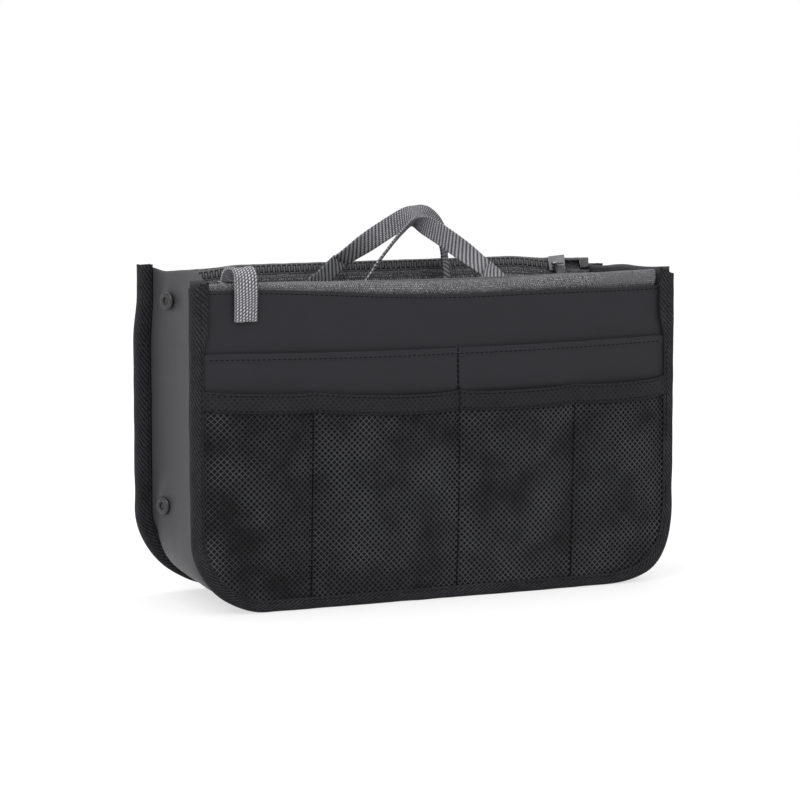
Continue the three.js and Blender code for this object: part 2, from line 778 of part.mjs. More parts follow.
// One zipped compartment with its pockets, binding, zip and handle, seen as the front one
function buildHalf(name, pullOverTheTop) {
  const half = new THREE.Group();
  const columns = layerColumns(layerEdge);
  const hemLow = meshPocketTop - hemHeight;
  const hemColumns = Array.from({ length: 2 * faceColumns + 1 }, (_, step) => (
    { x: faceHalf * (step / faceColumns - 1), low: hemLow }
  ));
  const outer = { columns, rows: faceRows, edge: bindingReach };
  const panel = { ...outer, top: panelTop, outerFace: panelDepth, ply: panelPly };
  const slipPocket = { ...outer, top: slipPocketTop, outerFace: slipDepth, ply: pocketPly };
  const meshPocket = { ...outer, top: meshPocketTop, outerFace: meshDepth, ply: meshPly };
  const meshHem = {
    columns: hemColumns, rows: hemRows, edge: hemHeight / 2,
    top: meshPocketTop, outerFace: hemDepth, ply: pocketPly,
  };
  half.add(mesh(`${name}_panel`, crownedLayer(panel), materials.nylon));
  half.add(mesh(`${name}_slip_pocket`, crownedLayer(slipPocket), materials.nylon));
  half.add(mesh(`${name}_mesh_pocket`, crownedLayer(meshPocket), materials.mesh));
  half.add(mesh(`${name}_mesh_hem`, crownedLayer(meshHem), materials.grosgrain));
  half.add(mesh(`${name}_inner_wall`, flatLayer(layerEdge, wallTop, wallDepth, wallPly), materials.lining));
  half.add(mesh(`${name}_inner_pocket`,
    flatLayer(gussetInside + clearance, innerPocketTop, wallDepth + wallPly + clearance, pocketPly),
    materials.lining));
  half.add(mesh(`${name}_binding`, bindingGeometry(), materials.grosgrain));
  half.add(buildZip(name, pullOverTheTop));
  half.add(buildHandle(name));
  return half;
}

const organizer = new THREE.Group();

organizer.add(buildHalf('front', true));

const rear = buildHalf('rear', false);
rear.rotation.z = Math.PI;
rear.scale.z = rearRise;
organizer.add(rear);

organizer.add(mesh('gusset', gussetGeometry(), materials.gusset));

for (const { name, side, y, z, ball } of snapPlaces) {
  const snap = mesh(name, snapGeometry(ball), materials.metal);
  snap.position.set(side * (width / 2 - seamAllowance), y, z);
  snap.rotation.z = -side * Math.PI / 2;
  organizer.add(snap);
}

export default organizer;
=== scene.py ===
"""Dresses a purse organizer insert: cloth, net, bindings, zips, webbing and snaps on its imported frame."""

import json
import math

import bmesh
import bpy
from bpy.props import FloatProperty, FloatVectorProperty, IntProperty, PointerProperty
from mathutils import Matrix, Vector, noise


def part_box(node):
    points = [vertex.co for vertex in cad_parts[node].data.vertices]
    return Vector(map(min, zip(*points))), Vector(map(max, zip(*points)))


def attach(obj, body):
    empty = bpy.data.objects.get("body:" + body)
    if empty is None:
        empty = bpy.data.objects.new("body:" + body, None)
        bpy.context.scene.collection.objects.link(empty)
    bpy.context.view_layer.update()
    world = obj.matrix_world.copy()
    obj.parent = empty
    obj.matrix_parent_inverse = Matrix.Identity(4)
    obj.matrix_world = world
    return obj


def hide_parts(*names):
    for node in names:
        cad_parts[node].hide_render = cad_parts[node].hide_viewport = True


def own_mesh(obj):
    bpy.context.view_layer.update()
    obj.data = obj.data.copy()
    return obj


bl_info = {
    "name": "Purse Organizer Insert",
    "version": (1, 0, 0),
    "blender": (4, 5, 0),
    "location": "View3D > Sidebar > Organizer",
    "description": "Models the soft goods, zips and snaps of a purse organizer insert on its frame",
    "category": "Object",
}

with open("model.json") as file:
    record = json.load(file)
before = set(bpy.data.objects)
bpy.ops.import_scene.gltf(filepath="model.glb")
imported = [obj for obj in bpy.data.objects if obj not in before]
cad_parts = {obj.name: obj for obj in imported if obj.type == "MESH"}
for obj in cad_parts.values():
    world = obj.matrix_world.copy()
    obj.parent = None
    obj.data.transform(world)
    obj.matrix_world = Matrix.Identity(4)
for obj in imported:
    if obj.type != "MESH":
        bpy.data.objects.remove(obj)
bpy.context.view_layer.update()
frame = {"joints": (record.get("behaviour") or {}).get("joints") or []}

MM = 0.001
HALVES = ("front", "rear")
IMAGE_PIXELS = 800
SENSOR_WIDTH = 36.0

# The seam line that every layer of a half shares, from the frame
BINDING_LOW, BINDING_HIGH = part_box("front_binding")
HALF_WIDTH = BINDING_HIGH.x
HEIGHT = BINDING_HIGH.z
OUTER_FACE = BINDING_LOW.y
REAR_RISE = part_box("rear_binding")[1].z / HEIGHT
BINDING_DEPTH = BINDING_HIGH.y - BINDING_LOW.y

# Half the thickness of the frame's layers
NODE_HALF_PLY = 0.3 * MM

# How the bag stands askew: a squarer front corner, and a rear corner that is lifted and leans in at its top
CORNER_PUSH = 0.2
CORNER_LIFT = 5.5 * MM
LIFTED_ALONG = (70 * MM, 140 * MM)
LIFTED_UP = (5 * MM, 110 * MM)
CORNER_LEAN = 2.4 * MM
LEANT_ALONG = (128 * MM, 150 * MM)
LEANT_UP = (HEIGHT - 42 * MM, HEIGHT - 14 * MM)


def inset_of(node):
    """Distance of a flat layer's middle in from the outside of its half's binding."""
    low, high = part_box(node)
    if low.y < OUTER_FACE + MM:
        return high.y - OUTER_FACE - NODE_HALF_PLY
    return (low.y + high.y) / 2 - OUTER_FACE


def middle(node):
    """Middle of a node's box at rest."""
    low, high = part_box(node)
    return (low + high) / 2


def size_setting(name, description, value):
    """A length that a user can set."""
    return FloatProperty(name=name, description=description, default=value, unit="LENGTH")


class OrganizerSizes(bpy.types.PropertyGroup):
    """Sizes of the soft goods that a user would change"""

    corner_radius: size_setting("Corner radius", "Radius of the two lower corners", 45 * MM)
    binding_reach: size_setting("Binding reach", "How far the edge tape covers the face at its top", 10 * MM)
    binding_face: size_setting("Binding face", "Width of the edge tape below its top", 6.8 * MM)
    binding_back_reach: size_setting("Binding back reach", "How far the tape covers the inside", 8.7 * MM)
    seam_allowance: size_setting("Seam allowance", "From the edge to the gusset", 9.35 * MM)
    cloth_ply: size_setting("Cloth thickness", "Thickness of the nylon layers", 0.45 * MM)
    binding_ply: size_setting("Binding thickness", "Thickness of the edge tape", 0.7 * MM)
    webbing_ply: size_setting("Webbing thickness", "Thickness of the handles", 0.9 * MM)
    webbing_width: size_setting("Webbing width", "Width of the handle webbing", 11.5 * MM)
    ribbon_width: size_setting("Pull width", "Width of the zip pulls' ribbon", 13.2 * MM)
    crown: size_setting("Crown", "How far the faces swell", 2.5 * MM)
    zip_band: size_setting("Zip band", "Height of the zip tape above the panel", 7 * MM)
    zip_sag: size_setting("Zip sag", "How far the front zip sags in the middle", 4.4 * MM)
    slip_top: size_setting("Slip pocket height", "Height of the slip pocket's edge", 144 * MM)
    net_top: size_setting("Net pocket height", "Height of the net pocket's edge", 119 * MM)
    hem_height: size_setting("Hem height", "Height of the band on the net", 11 * MM)
    net_pitch: size_setting("Net pitch", "Distance between the net's strands", 2.4 * MM)
    net_yarn: size_setting("Net yarn", "Thickness of the net's strands", 0.5 * MM)
    stitch_pitch: size_setting("Stitch length", "Distance between stitches", 3.0 * MM)
    tooth_pitch: size_setting("Tooth pitch", "Distance between the teeth of one row", 3.2 * MM)
    round_sides: IntProperty(
        name="Round sides", description="Sides of the snaps' round forms", default=48, min=12
    )


def colour(name, description, value):
    """A colour setting."""
    return FloatVectorProperty(
        name=name, description=description, default=value, size=3, min=0.0, max=1.0, subtype="COLOR"
    )


class OrganizerColours(bpy.types.PropertyGroup):
    """Colours of the finishes"""

    nylon: colour("Nylon", "Black nylon of the outer panels", (0.0218, 0.0216, 0.0255))
    net: colour("Net", "Yarn of the net pockets", (0.072, 0.072, 0.078))
    binding: colour("Binding", "Edge tape and threads", (0.0165, 0.0162, 0.018))
    gusset: colour("Gusset", "Grey nylon of the ends and floor", (0.052, 0.052, 0.0565))
    lining: colour("Lining", "Grey nylon of the inner walls", (0.12, 0.12, 0.127))
    zip_tape: colour("Zip tape", "Woven tape of the zips", (0.21, 0.21, 0.22))
    teeth: colour("Teeth", "Moulded teeth", (0.07, 0.07, 0.075))
    webbing: colour("Webbing", "Handles and pulls", (0.17, 0.17, 0.18))
    metal: colour("Metal", "Enamel of the snaps and the zips' end tabs", (0.012, 0.012, 0.013))
    nickel: colour("Nickel", "Plated metal of the sliders", (0.2, 0.2, 0.205))
    floor: colour("Floor", "Pale studio floor", (0.6, 0.6, 0.6))


class OrganizerView(bpy.types.PropertyGroup):
    """Camera of the product view"""

    azimuth: FloatProperty(
        name="Azimuth", description="Turn of the camera round the bag", default=math.radians(-25.33),
        subtype="ANGLE",
    )
    elevation: FloatProperty(
        name="Elevation", description="Height angle of the camera", default=math.radians(6.4), subtype="ANGLE"
    )
    distance: FloatProperty(
        name="Distance", description="From the camera to its target", default=1.835, unit="LENGTH"
    )
    focal_pixels: FloatProperty(
        name="Focal length", description="Focal length in pixels of the image", default=3206.0
    )
    target: FloatVectorProperty(
        name="Target", description="Point in the middle of the view", default=(-0.0043, 0.0, 0.1083), size=3,
        subtype="XYZ",
    )


# Shading


def add_node(tree, kind, inputs=None, **settings):
    """A node with its settings, its plain input values and its links."""
    node = tree.nodes.new(kind)
    for key, value in settings.items():
        setattr(node, key, value)
    for key, value in (inputs or {}).items():
        if isinstance(value, bpy.types.NodeSocket):
            tree.links.new(value, node.inputs[key])
        else:
            node.inputs[key].default_value = value
    return node


def group_tree(name, inputs, outputs):
    """An empty shader node group with named sockets, and its two end nodes."""
    tree = bpy.data.node_groups.new(name, "ShaderNodeTree")
    for label, kind, value in inputs:
        socket = tree.interface.new_socket(label, in_out="INPUT", socket_type=kind)
        if value is not None:
            socket.default_value = value
    for label, kind in outputs:
        tree.interface.new_socket(label, in_out="OUTPUT", socket_type=kind)
    return tree, tree.nodes.new("NodeGroupInput"), tree.nodes.new("NodeGroupOutput")


def math_node(tree, operation, first, second=0.0):
    """The output of a Math node."""
    return add_node(tree, "ShaderNodeMath", {0: first, 1: second}, operation=operation).outputs[0]


def ribs_group():
    """Parallel thread ridges over a flat map in metres, from 0 in the grooves to 1 on the ridges."""
    name = "Thread ribs"
    if name in bpy.data.node_groups:
        return bpy.data.node_groups[name]
    tree, start, end = group_tree(
        name,
        [
            ("Vector", "NodeSocketVector", None),
            ("Lines along", "NodeSocketFloat", 700.0),
            ("Lines across", "NodeSocketFloat", 0.0),
            ("Fuzz", "NodeSocketFloat", 0.3),
            ("Fuzz scale", "NodeSocketFloat", 900.0),
        ],
        [("Height", "NodeSocketFloat")],
    )
    axes = add_node(tree, "ShaderNodeSeparateXYZ", {"Vector": start.outputs["Vector"]})
    along = math_node(tree, "MULTIPLY", axes.outputs["X"], start.outputs["Lines along"])
    across = math_node(tree, "MULTIPLY", axes.outputs["Y"], start.outputs["Lines across"])
    blur = add_node(
        tree,
        "ShaderNodeTexNoise",
        {"Vector": start.outputs["Vector"], "Scale": start.outputs["Fuzz scale"], "Detail": 2.0},
    )
    shake = math_node(tree, "MULTIPLY", blur.outputs["Fac"], start.outputs["Fuzz"])
    count = math_node(tree, "ADD", math_node(tree, "ADD", along, across), shake)
    wave = math_node(tree, "SINE", math_node(tree, "MULTIPLY", count, 2 * math.pi))
    height = math_node(tree, "MULTIPLY", math_node(tree, "ADD", wave, 1.0), 0.5)
    tree.links.new(height, end.inputs["Height"])
    return tree


def mottle_group():
    """Two close tones that drift over a surface, with a value for its gloss."""
    name = "Cloth mottle"
    if name in bpy.data.node_groups:
        return bpy.data.node_groups[name]
    tree, start, end = group_tree(
        name,
        [
            ("Vector", "NodeSocketVector", None),
            ("Scale", "NodeSocketFloat", 40.0),
            ("Dark", "NodeSocketColor", None),
            ("Light", "NodeSocketColor", None),
            ("Patch start", "NodeSocketFloat", 0.0),
            ("Patch end", "NodeSocketFloat", 1.0),
            ("Smooth", "NodeSocketFloat", 0.4),
            ("Rough", "NodeSocketFloat", 0.6),
        ],
        [("Color", "NodeSocketColor"), ("Roughness", "NodeSocketFloat")],
    )
    drift = add_node(
        tree,
        "ShaderNodeTexNoise",
        {"Vector": start.outputs["Vector"], "Scale": start.outputs["Scale"], "Detail": 4.0, "Roughness": 0.6},
    )
    patch = add_node(
        tree,
        "ShaderNodeMapRange",
        {
            "Value": drift.outputs["Fac"],
            "From Min": start.outputs["Patch start"],
            "From Max": start.outputs["Patch end"],
        },
    )
    tone = add_node(tree, "ShaderNodeMix", {"Factor": patch.outputs["Result"]}, data_type="RGBA")
    tree.links.new(start.outputs["Dark"], tone.inputs[6])
    tree.links.new(start.outputs["Light"], tone.inputs[7])
    gloss = add_node(
        tree,
        "ShaderNodeMapRange",
        {"Value": drift.outputs["Fac"], "To Min": start.outputs["Smooth"], "To Max": start.outputs["Rough"]},
    )
    tree.links.new(tone.outputs[2], end.inputs["Color"])
    tree.links.new(gloss.outputs["Result"], end.inputs["Roughness"])
    return tree


def tinted(base, factor):
    """A colour made lighter or darker, with full alpha."""
    return (*(min(1.0, channel * factor) for channel in base), 1.0)


def start_material(name):
    """A new material, its node tree and its shader."""
    material = bpy.data.materials.new(name)
    material.use_nodes = True
    tree = material.node_tree
    return material, tree, tree.nodes["Principled BSDF"]


def set_shader(shader, values):
    """Sets plain inputs of a shader, whose names are written with underscores for spaces."""
    for key, value in values.items():
        shader.inputs[key.replace("_", " ")].default_value = value


def mottled(tree, shader, place, base, spread, gloss, patches):
    """Drifting tones and gloss; patches are the drift's scale and the tones' first and last value."""
    tones = add_node(
        tree,
        "ShaderNodeGroup",
        {
            "Vector": place,
            "Scale": patches[0],
            "Dark": tinted(base, spread[0]),
            "Light": tinted(base, spread[1]),
            "Patch start": patches[1],
            "Patch end": patches[2],
            "Smooth": gloss[0],
            "Rough": gloss[1],
        },
        node_tree=mottle_group(),
    )
    tree.links.new(tones.outputs["Roughness"], shader.inputs["Roughness"])
    return tones.outputs["Color"]


CLOTH_PATCHES = (55.0, 0.0, 1.0)
MOULDED_PATCHES = (160.0, 0.0, 1.0)
# Height over which the painted shade under the net fades in, and how dark that painted shade gets
SHADE_STEP = 4 * MM
SHADE_TONE = 0.3


def shaded_below(tree, level):
    """A factor that darkens what lies below a level: painted shade of the net."""
    spot = add_node(tree, "ShaderNodeTexCoord").outputs["Object"]
    axes = add_node(tree, "ShaderNodeSeparateXYZ", {"Vector": spot})
    step = add_node(
        tree,
        "ShaderNodeMapRange",
        {"Value": axes.outputs["Z"], "From Min": level - SHADE_STEP, "From Max": level, "To Min": SHADE_TONE},
    )
    return step.outputs["Result"]


def cloth_material(
    name, base, ribs, relief, gloss, spread, groove, ridge=1.25, flat_map=True, crossing="MAXIMUM",
    shade_below=None, **shader_values,
):
    """Woven cloth: ribs are (lines along, lines across, fuzz) sets of threads, joined by a crossing rule; its
    colour carries painted shade in the grooves and painted highlight on the ridges.
    """
    material, tree, shader = start_material(name)
    if flat_map:
        place = add_node(tree, "ShaderNodeUVMap", uv_map="flat").outputs["UV"]
    else:
        upright = add_node(tree, "ShaderNodeTexCoord").outputs["Object"]
        turned = add_node(tree, "ShaderNodeMapping", {"Vector": upright, "Rotation": (math.pi / 2, 0.0, 0.0)})
        place = turned.outputs["Vector"]
    tones = mottled(tree, shader, place, base, spread, gloss, CLOTH_PATCHES)
    height = None
    for along, across, fuzz in ribs:
        threads = add_node(
            tree,
            "ShaderNodeGroup",
            {"Vector": place, "Lines along": along, "Lines across": across, "Fuzz": fuzz},
            node_tree=ribs_group(),
        )
        strand = threads.outputs["Height"]
        height = strand if height is None else math_node(tree, crossing, height, strand)
    # Painted shade in the thread grooves and painted highlight on the ridges: the colour follows the weave's
    # height
    shade = add_node(tree, "ShaderNodeMapRange", {"Value": height, "To Min": groove, "To Max": ridge})
    tone = shade.outputs["Result"]
    if shade_below:
        tone = math_node(tree, "MULTIPLY", tone, shaded_below(tree, shade_below))
    shaded_weave = add_node(tree, "ShaderNodeVectorMath", {0: tones, "Scale": tone}, operation="SCALE")
    tree.links.new(shaded_weave.outputs["Vector"], shader.inputs["Base Color"])
    bump = add_node(tree, "ShaderNodeBump", {"Height": height, "Distance": relief, "Strength": 1.0})
    tree.links.new(bump.outputs["Normal"], shader.inputs["Normal"])
    set_shader(shader, shader_values)
    return material


def moulded_material(
    name, base, gloss, grain, relief, spread=(0.8, 1.25), patches=MOULDED_PATCHES, **shader_values
):
    """Plain moulded, plated or enamelled surface with a fine grain."""
    material, tree, shader = start_material(name)
    place = add_node(tree, "ShaderNodeTexCoord").outputs["Object"]
    tones = mottled(tree, shader, place, base, spread, gloss, patches)
    tree.links.new(tones, shader.inputs["Base Color"])
    speck = add_node(tree, "ShaderNodeTexNoise", {"Vector": place, "Scale": grain, "Detail": 2.0})
    bump = add_node(
        tree, "ShaderNodeBump", {"Height": speck.outputs["Fac"], "Distance": relief, "Strength": 0.5}
    )
    tree.links.new(bump.outputs["Normal"], shader.inputs["Normal"])
    set_shader(shader, shader_values)
    return material


def plain_weave(lines):
    """Threads that cross at right angles, in lines per metre."""
    return [(lines, 0, 0.5), (0, lines, 0.5)]


def diamond_weave(along, across, fuzz):
    """Threads that slant both ways, in lines per metre."""
    return [(along, across, fuzz), (along, -across, fuzz)]


def finish_named(name):
    """The finish of that name, made the first time it is asked for."""
    made = bpy.data.materials.get(name)
    if made:
        return made
    shades = bpy.context.scene.organizer_colours
    makers = {
        "panel nylon": lambda: cloth_material(
            name, shades.nylon, plain_weave(2300), relief=0.03 * MM, gloss=(0.42, 0.52), spread=(0.9, 1.1),
            groove=0.85, flat_map=False, Specular_IOR_Level=0.16,
        ),
        # Below the net's top this nylon is darkened as painted shade of the net
        "pocket nylon": lambda: cloth_material(
            name, shades.nylon, plain_weave(2300), relief=0.03 * MM, gloss=(0.42, 0.52), spread=(0.9, 1.1),
            groove=0.85, flat_map=False, shade_below=bpy.context.scene.organizer_sizes.net_top,
            Specular_IOR_Level=0.16,
        ),
        # The net yarn's tone runs from dark to light in wide patches: painted sheen on the net
        "net yarn": lambda: moulded_material(
            name, shades.net, gloss=(0.42, 0.6), grain=2600.0, relief=0.05 * MM, spread=(0.3, 1.65),
            patches=(28.0, 0.34, 0.68), Specular_IOR_Level=0.12,
        ),
        "edge tape": lambda: cloth_material(
            name, shades.binding, [(310, 500, 1.1)], relief=0.2 * MM, gloss=(0.6, 0.8), spread=(0.4, 1.8),
            groove=0.6, ridge=2.2, Specular_IOR_Level=0.1,
        ),
        "net hem": lambda: cloth_material(
            name, shades.nylon, diamond_weave(294, 294, 0.25), relief=0.2 * MM, gloss=(0.5, 0.65),
            spread=(0.5, 1.2), groove=0.35, ridge=1.1, Specular_IOR_Level=0.14,
        ),
        "gusset nylon": lambda: cloth_material(
            name, shades.gusset, plain_weave(2100), relief=0.03 * MM, gloss=(0.42, 0.55), spread=(0.93, 1.07),
            groove=0.85, Specular_IOR_Level=0.22,
        ),
        "lining nylon": lambda: cloth_material(
            name, shades.lining, plain_weave(1900), relief=0.03 * MM, gloss=(0.45, 0.6), spread=(0.9, 1.1),
            groove=0.8, flat_map=False, Specular_IOR_Level=0.4,
        ),
        "zip tape": lambda: cloth_material(
            name, shades.zip_tape, diamond_weave(700, 520, 2.4), relief=0.3 * MM, gloss=(0.75, 0.9),
            spread=(0.7, 1.35), groove=0.3, ridge=2.3, crossing="MULTIPLY", Specular_IOR_Level=0.2,
        ),
        "moulded teeth": lambda: moulded_material(
            name, shades.teeth, gloss=(0.28, 0.42), grain=1500.0, relief=0.02 * MM, Coat_Weight=0.25,
            Coat_Roughness=0.2,
        ),
        "handle webbing": lambda: cloth_material(
            name, shades.webbing, [(420, 260, 0.35), (0, 1100, 0.4)], relief=0.35 * MM, gloss=(0.7, 0.85),
            spread=(0.85, 1.2), groove=0.3, ridge=4.9, crossing="MULTIPLY", Specular_IOR_Level=0.2,
        ),
        "ribbon weave": lambda: cloth_material(
            name, shades.webbing, [(660, 420, 0.3), (0, 560, 0.3)], relief=0.3 * MM, gloss=(0.7, 0.85),
            spread=(0.85, 1.2), groove=0.45, ridge=4.9, crossing="MULTIPLY", Specular_IOR_Level=0.2,
        ),
        "black enamel": lambda: moulded_material(
            name, shades.metal, gloss=(0.12, 0.22), grain=700.0, relief=0.01 * MM, Coat_Weight=1.0,
            Coat_Roughness=0.08, Metallic=0.35,
        ),
        # The snaps' enamel is made lighter than the end tabs' metal colour: partly their own tone, partly
        # painted highlight on the rings
        "snap enamel": lambda: moulded_material(
            name, shades.metal, gloss=(0.25, 0.35), grain=700.0, relief=0.01 * MM, spread=(1.4, 2.2),
            Specular_IOR_Level=0.5,
        ),
        "nickel": lambda: moulded_material(
            name, shades.nickel, gloss=(0.2, 0.32), grain=900.0, relief=0.01 * MM, Metallic=0.9
        ),
        "thread": lambda: moulded_material(
            name, shades.binding, gloss=(0.6, 0.75), grain=4000.0, relief=0.05 * MM, spread=(0.4, 0.6),
            Specular_IOR_Level=0.05,
        ),
    }
    return makers[name]()


# Pieces


def piece(name, bm, finish, body, replaced=(), thickness=0.0):
    """Turns a bmesh into a piece that rides on a body and stands for frame nodes."""
    mesh = bpy.data.meshes.new(name)
    bm.to_mesh(mesh)
    bm.free()
    mesh.materials.append(finish_named(finish))
    mesh.shade_smooth()
    made = bpy.data.objects.new(name, mesh)
    bpy.context.scene.collection.objects.link(made)
    if thickness:
        wall = made.modifiers.new("Cloth thickness", "SOLIDIFY")
        wall.thickness = thickness
        wall.offset = 0.0
    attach(made, body)
    if replaced:
        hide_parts(*replaced)
    return made


def cloth_grid(columns, rows, place):
    """A grid bent into cloth: place turns shares (across, up) into a point and its flat map in metres."""
    bm = bmesh.new()
    bmesh.ops.create_grid(bm, x_segments=columns, y_segments=rows, size=0.5)
    flat = bm.loops.layers.uv.new("flat")
    spots = {vert: place(vert.co.x + 0.5, vert.co.y + 0.5) for vert in bm.verts}
    for face in bm.faces:
        for loop in face.loops:
            loop[flat].uv = spots[loop.vert][1]
    for vert, (point, _) in spots.items():
        vert.co = point
    return bm


def lerp(start, end, share):
    """The value a share of the way from start to end."""
    return start + (end - start) * share


def smooth(value, low, high):
    """0 below low, 1 above high and a soft rise between."""
    share = min(1.0, max(0.0, (value - low) / (high - low)))
    return share * share * (3 - 2 * share)


def spline(points, share):
    """A point on the smooth curve through points, spaced evenly in share."""
    count = len(points) - 1
    at = min(count - 1e-9, max(0.0, share * count))
    index = int(at)
    t = at - index
    before = points[max(index - 1, 0)]
    first = points[index]
    second = points[index + 1]
    after = points[min(index + 2, count)]
    lean_in = (second - before) / 2
    lean_out = (after - first) / 2
    return (
        first * (2 * t**3 - 3 * t**2 + 1)
        + lean_in * (t**3 - 2 * t**2 + t)
        + second * (3 * t**2 - 2 * t**3)
        + lean_out * (t**3 - t**2)
    )


def course_length(points):
    """Length of the straight runs from point to point."""
    return sum((after - before).length for before, after in zip(points, points[1:]))


def hand_of(pair, side):
    """The left or the right value of a pair, by the sign of a side."""
    return pair[0] if side < 0 else pair[1]


def soften(bm, edges, offset, segments):
    """Bevels edges into small rounds."""
    bmesh.ops.bevel(
        bm, geom=edges, offset=offset, offset_type="OFFSET", affect="EDGES", segments=segments, profile=0.5,
        material=-1,
    )


def half_point(half, x, inset, z):
    """A point of one half: along the bag, in from the outside of its binding, and up."""
    if half == "front":
        x, z = corner_fill(x, z)
        return Vector((x, OUTER_FACE + inset, z))
    return Vector((corner_lean(x, z) - x, -OUTER_FACE - inset, z * REAR_RISE + corner_lift(x, z)))


def half_way(half, way):
    """A direction given for the front half, turned as its half is."""
    turn = 1 if half == "front" else -1
    return Vector((turn * way.x, turn * way.y, way.z))


def corner_fill(x, z, share=1.0):
    """Pushes the front half's right lower corner out, so that it is squarer than an arc."""
    radius = bpy.context.scene.organizer_sizes.corner_radius
    past = (x - HALF_WIDTH + radius) / radius
    down = (radius - z) / radius
    if past <= 0 or down <= 0:
        return x, z
    push = CORNER_PUSH * share
    return (
        HALF_WIDTH - radius + radius * past * (1 + push * down * down),
        radius - radius * down * (1 + push * past * past),
    )


def corner_lift(x, z):
    """How far the rear half's right lower corner is drawn up off the floor."""
    return CORNER_LIFT * smooth(x, *LIFTED_ALONG) * (1 - smooth(z, *LIFTED_UP))


def corner_lean(x, z):
    """How far the rear half's right top corner leans in."""
    return CORNER_LEAN * smooth(x, *LEANT_ALONG) * smooth(z, *LEANT_UP)


def ripple(x, z, size, depth):
    """Soft unevenness of cloth."""
    return depth * noise.noise(Vector((x / size, z / size, 3.7)))


def outline_length(radius):
    """Length of the seam line from the left top round the floor to the right top."""
    return 2 * (HEIGHT - radius) + math.pi * radius + 2 * (HALF_WIDTH - radius)


def outline_at(length, radius):
    """Point of the seam line at a length from the left top, and its inward direction, both as (x, z)."""
    side = HEIGHT - radius
    arc = math.pi / 2 * radius
    floor = 2 * (HALF_WIDTH - radius)
    straight = HALF_WIDTH - radius
    if length <= side:
        return Vector((-HALF_WIDTH, HEIGHT - length)), Vector((1.0, 0.0))
    if length <= side + arc:
        angle = math.pi + (length - side) / radius
        ray = Vector((math.cos(angle), math.sin(angle)))
        return Vector((-straight, radius)) + ray * radius, -ray
    if length <= side + arc + floor:
        return Vector((-straight + length - side - arc, 0.0)), Vector((0.0, 1.0))
    if length <= side + 2 * arc + floor:
        angle = 1.5 * math.pi + (length - side - arc - floor) / radius
        ray = Vector((math.cos(angle), math.sin(angle)))
        return Vector((straight, radius)) + ray * radius, -ray
    return Vector((HALF_WIDTH, length - side - 2 * arc - floor + radius)), Vector((-1.0, 0.0))


def low_edge(x, radius, inset):
    """Height of a layer's lower edge, which follows the seam line at an inset."""
    past = abs(x) - (HALF_WIDTH - radius)
    if past <= 0:
        return inset
    return radius - math.sqrt(max((radius - inset) ** 2 - past**2, 0.0))


# Places on the faces, measured from the middle of the bag
SEAMS = (-80 * MM, 9.7 * MM, 82.5 * MM)
SLIP_SEAM = SEAMS[1]
FACE_END = 140 * MM
LAYER_EDGE = 1 * MM

# The folds along the tops of the layers
FOLD_BAND = 4.2 * MM
FOLD_REACH = 1.4 * FOLD_BAND
FOLD_STEP = 0.5 * MM
FOLD_LIFT = 0.35 * MM
ROWS_BELOW_FOLD = 0.8

# How the upper edges run and how far the layers swell
PANEL_TOP_DROP = 1.2 * MM
PANEL_SAG = 0.7
PANEL_LEFT_RISE = 3.6 * MM
PANEL_RIGHT_DROP = 2.2 * MM
ZIP_SAG_MIDDLE = 15 * MM
ZIP_SAG_REACH = 150 * MM
REAR_ZIP_DIP = 1.6 * MM
SLIP_DIP = 2.0 * MM
SLIP_SWELL = 2.2 * MM
NET_DIP = 1.5 * MM
NET_RISE = 1.0 * MM
NET_LEFT_RISE = 4.2 * MM
NET_SWELL = 3.2 * MM
REAR_RIPPLE_SHIFT = 50 * MM


def face_half():
    """Half the width of the face between the bindings."""
    return HALF_WIDTH - bpy.context.scene.organizer_sizes.binding_reach


def off_the_edges(x):
    """0 at the bindings and 1 a little way in, for unevenness that the seams hold flat."""
    return smooth(face_half() - abs(x), 0.0, 20 * MM)


def zip_drop(half, x):
    """How far the zip's line lies below straight: the front sags, the rear dips at its ends."""
    sizes = bpy.context.scene.organizer_sizes
    if half == "front":
        reach = min(1.0, abs(x - ZIP_SAG_MIDDLE) / ZIP_SAG_REACH)
        return sizes.zip_sag * math.cos(math.pi / 2 * reach) ** 2
    return REAR_ZIP_DIP * smooth(abs(x), 85 * MM, 135 * MM)


def panel_top(half, x):
    """Height of the panel's upper edge, which rises to the left on the front."""
    sizes = bpy.context.scene.organizer_sizes
    top = HEIGHT - PANEL_TOP_DROP - sizes.zip_band - PANEL_SAG * zip_drop(half, x)
    if half == "front":
        top += PANEL_LEFT_RISE * smooth(-x, -20 * MM, FACE_END)
        top -= PANEL_RIGHT_DROP * smooth(x, 40 * MM, FACE_END)
    return top


def pillow(x, seams):
    """Swell of the cloth between seams, 0 at a seam and 1 in the middle between two."""
    edges = (-face_half(), *seams, face_half())
    for left, right in zip(edges, edges[1:]):
        if left <= x <= right:
            share = (x - left) / (right - left)
            return (4 * share * (1 - share)) ** 0.5
    return 0.0


def crown(x, z):
    """Swell of a whole face."""
    sizes = bpy.context.scene.organizer_sizes
    across = max(0.0, 1 - (x / face_half()) ** 2)
    up = (z - sizes.binding_reach) / (HEIGHT - sizes.zip_band - sizes.binding_reach)
    return sizes.crown * across * max(0.0, 4 * up * (1 - up))


def slip_swell(x, z):
    """Swell of the slip pocket over the panel."""
    return SLIP_SWELL * pillow(x, (SLIP_SEAM,)) * smooth(z, 30 * MM, 140 * MM)


def net_swell(x, z):
    """Swell of the net over the slip pocket."""
    sizes = bpy.context.scene.organizer_sizes
    low = low_edge(x, sizes.corner_radius, sizes.binding_reach)
    return NET_SWELL * pillow(x, SEAMS) * smooth(z, low, low + 25 * MM)


def slip_top(x):
    """Height of the slip pocket's edge, which dips towards its seam."""
    sizes = bpy.context.scene.organizer_sizes
    return sizes.slip_top - SLIP_DIP * max(0.0, 1 - ((x - SLIP_SEAM) / face_half()) ** 2)


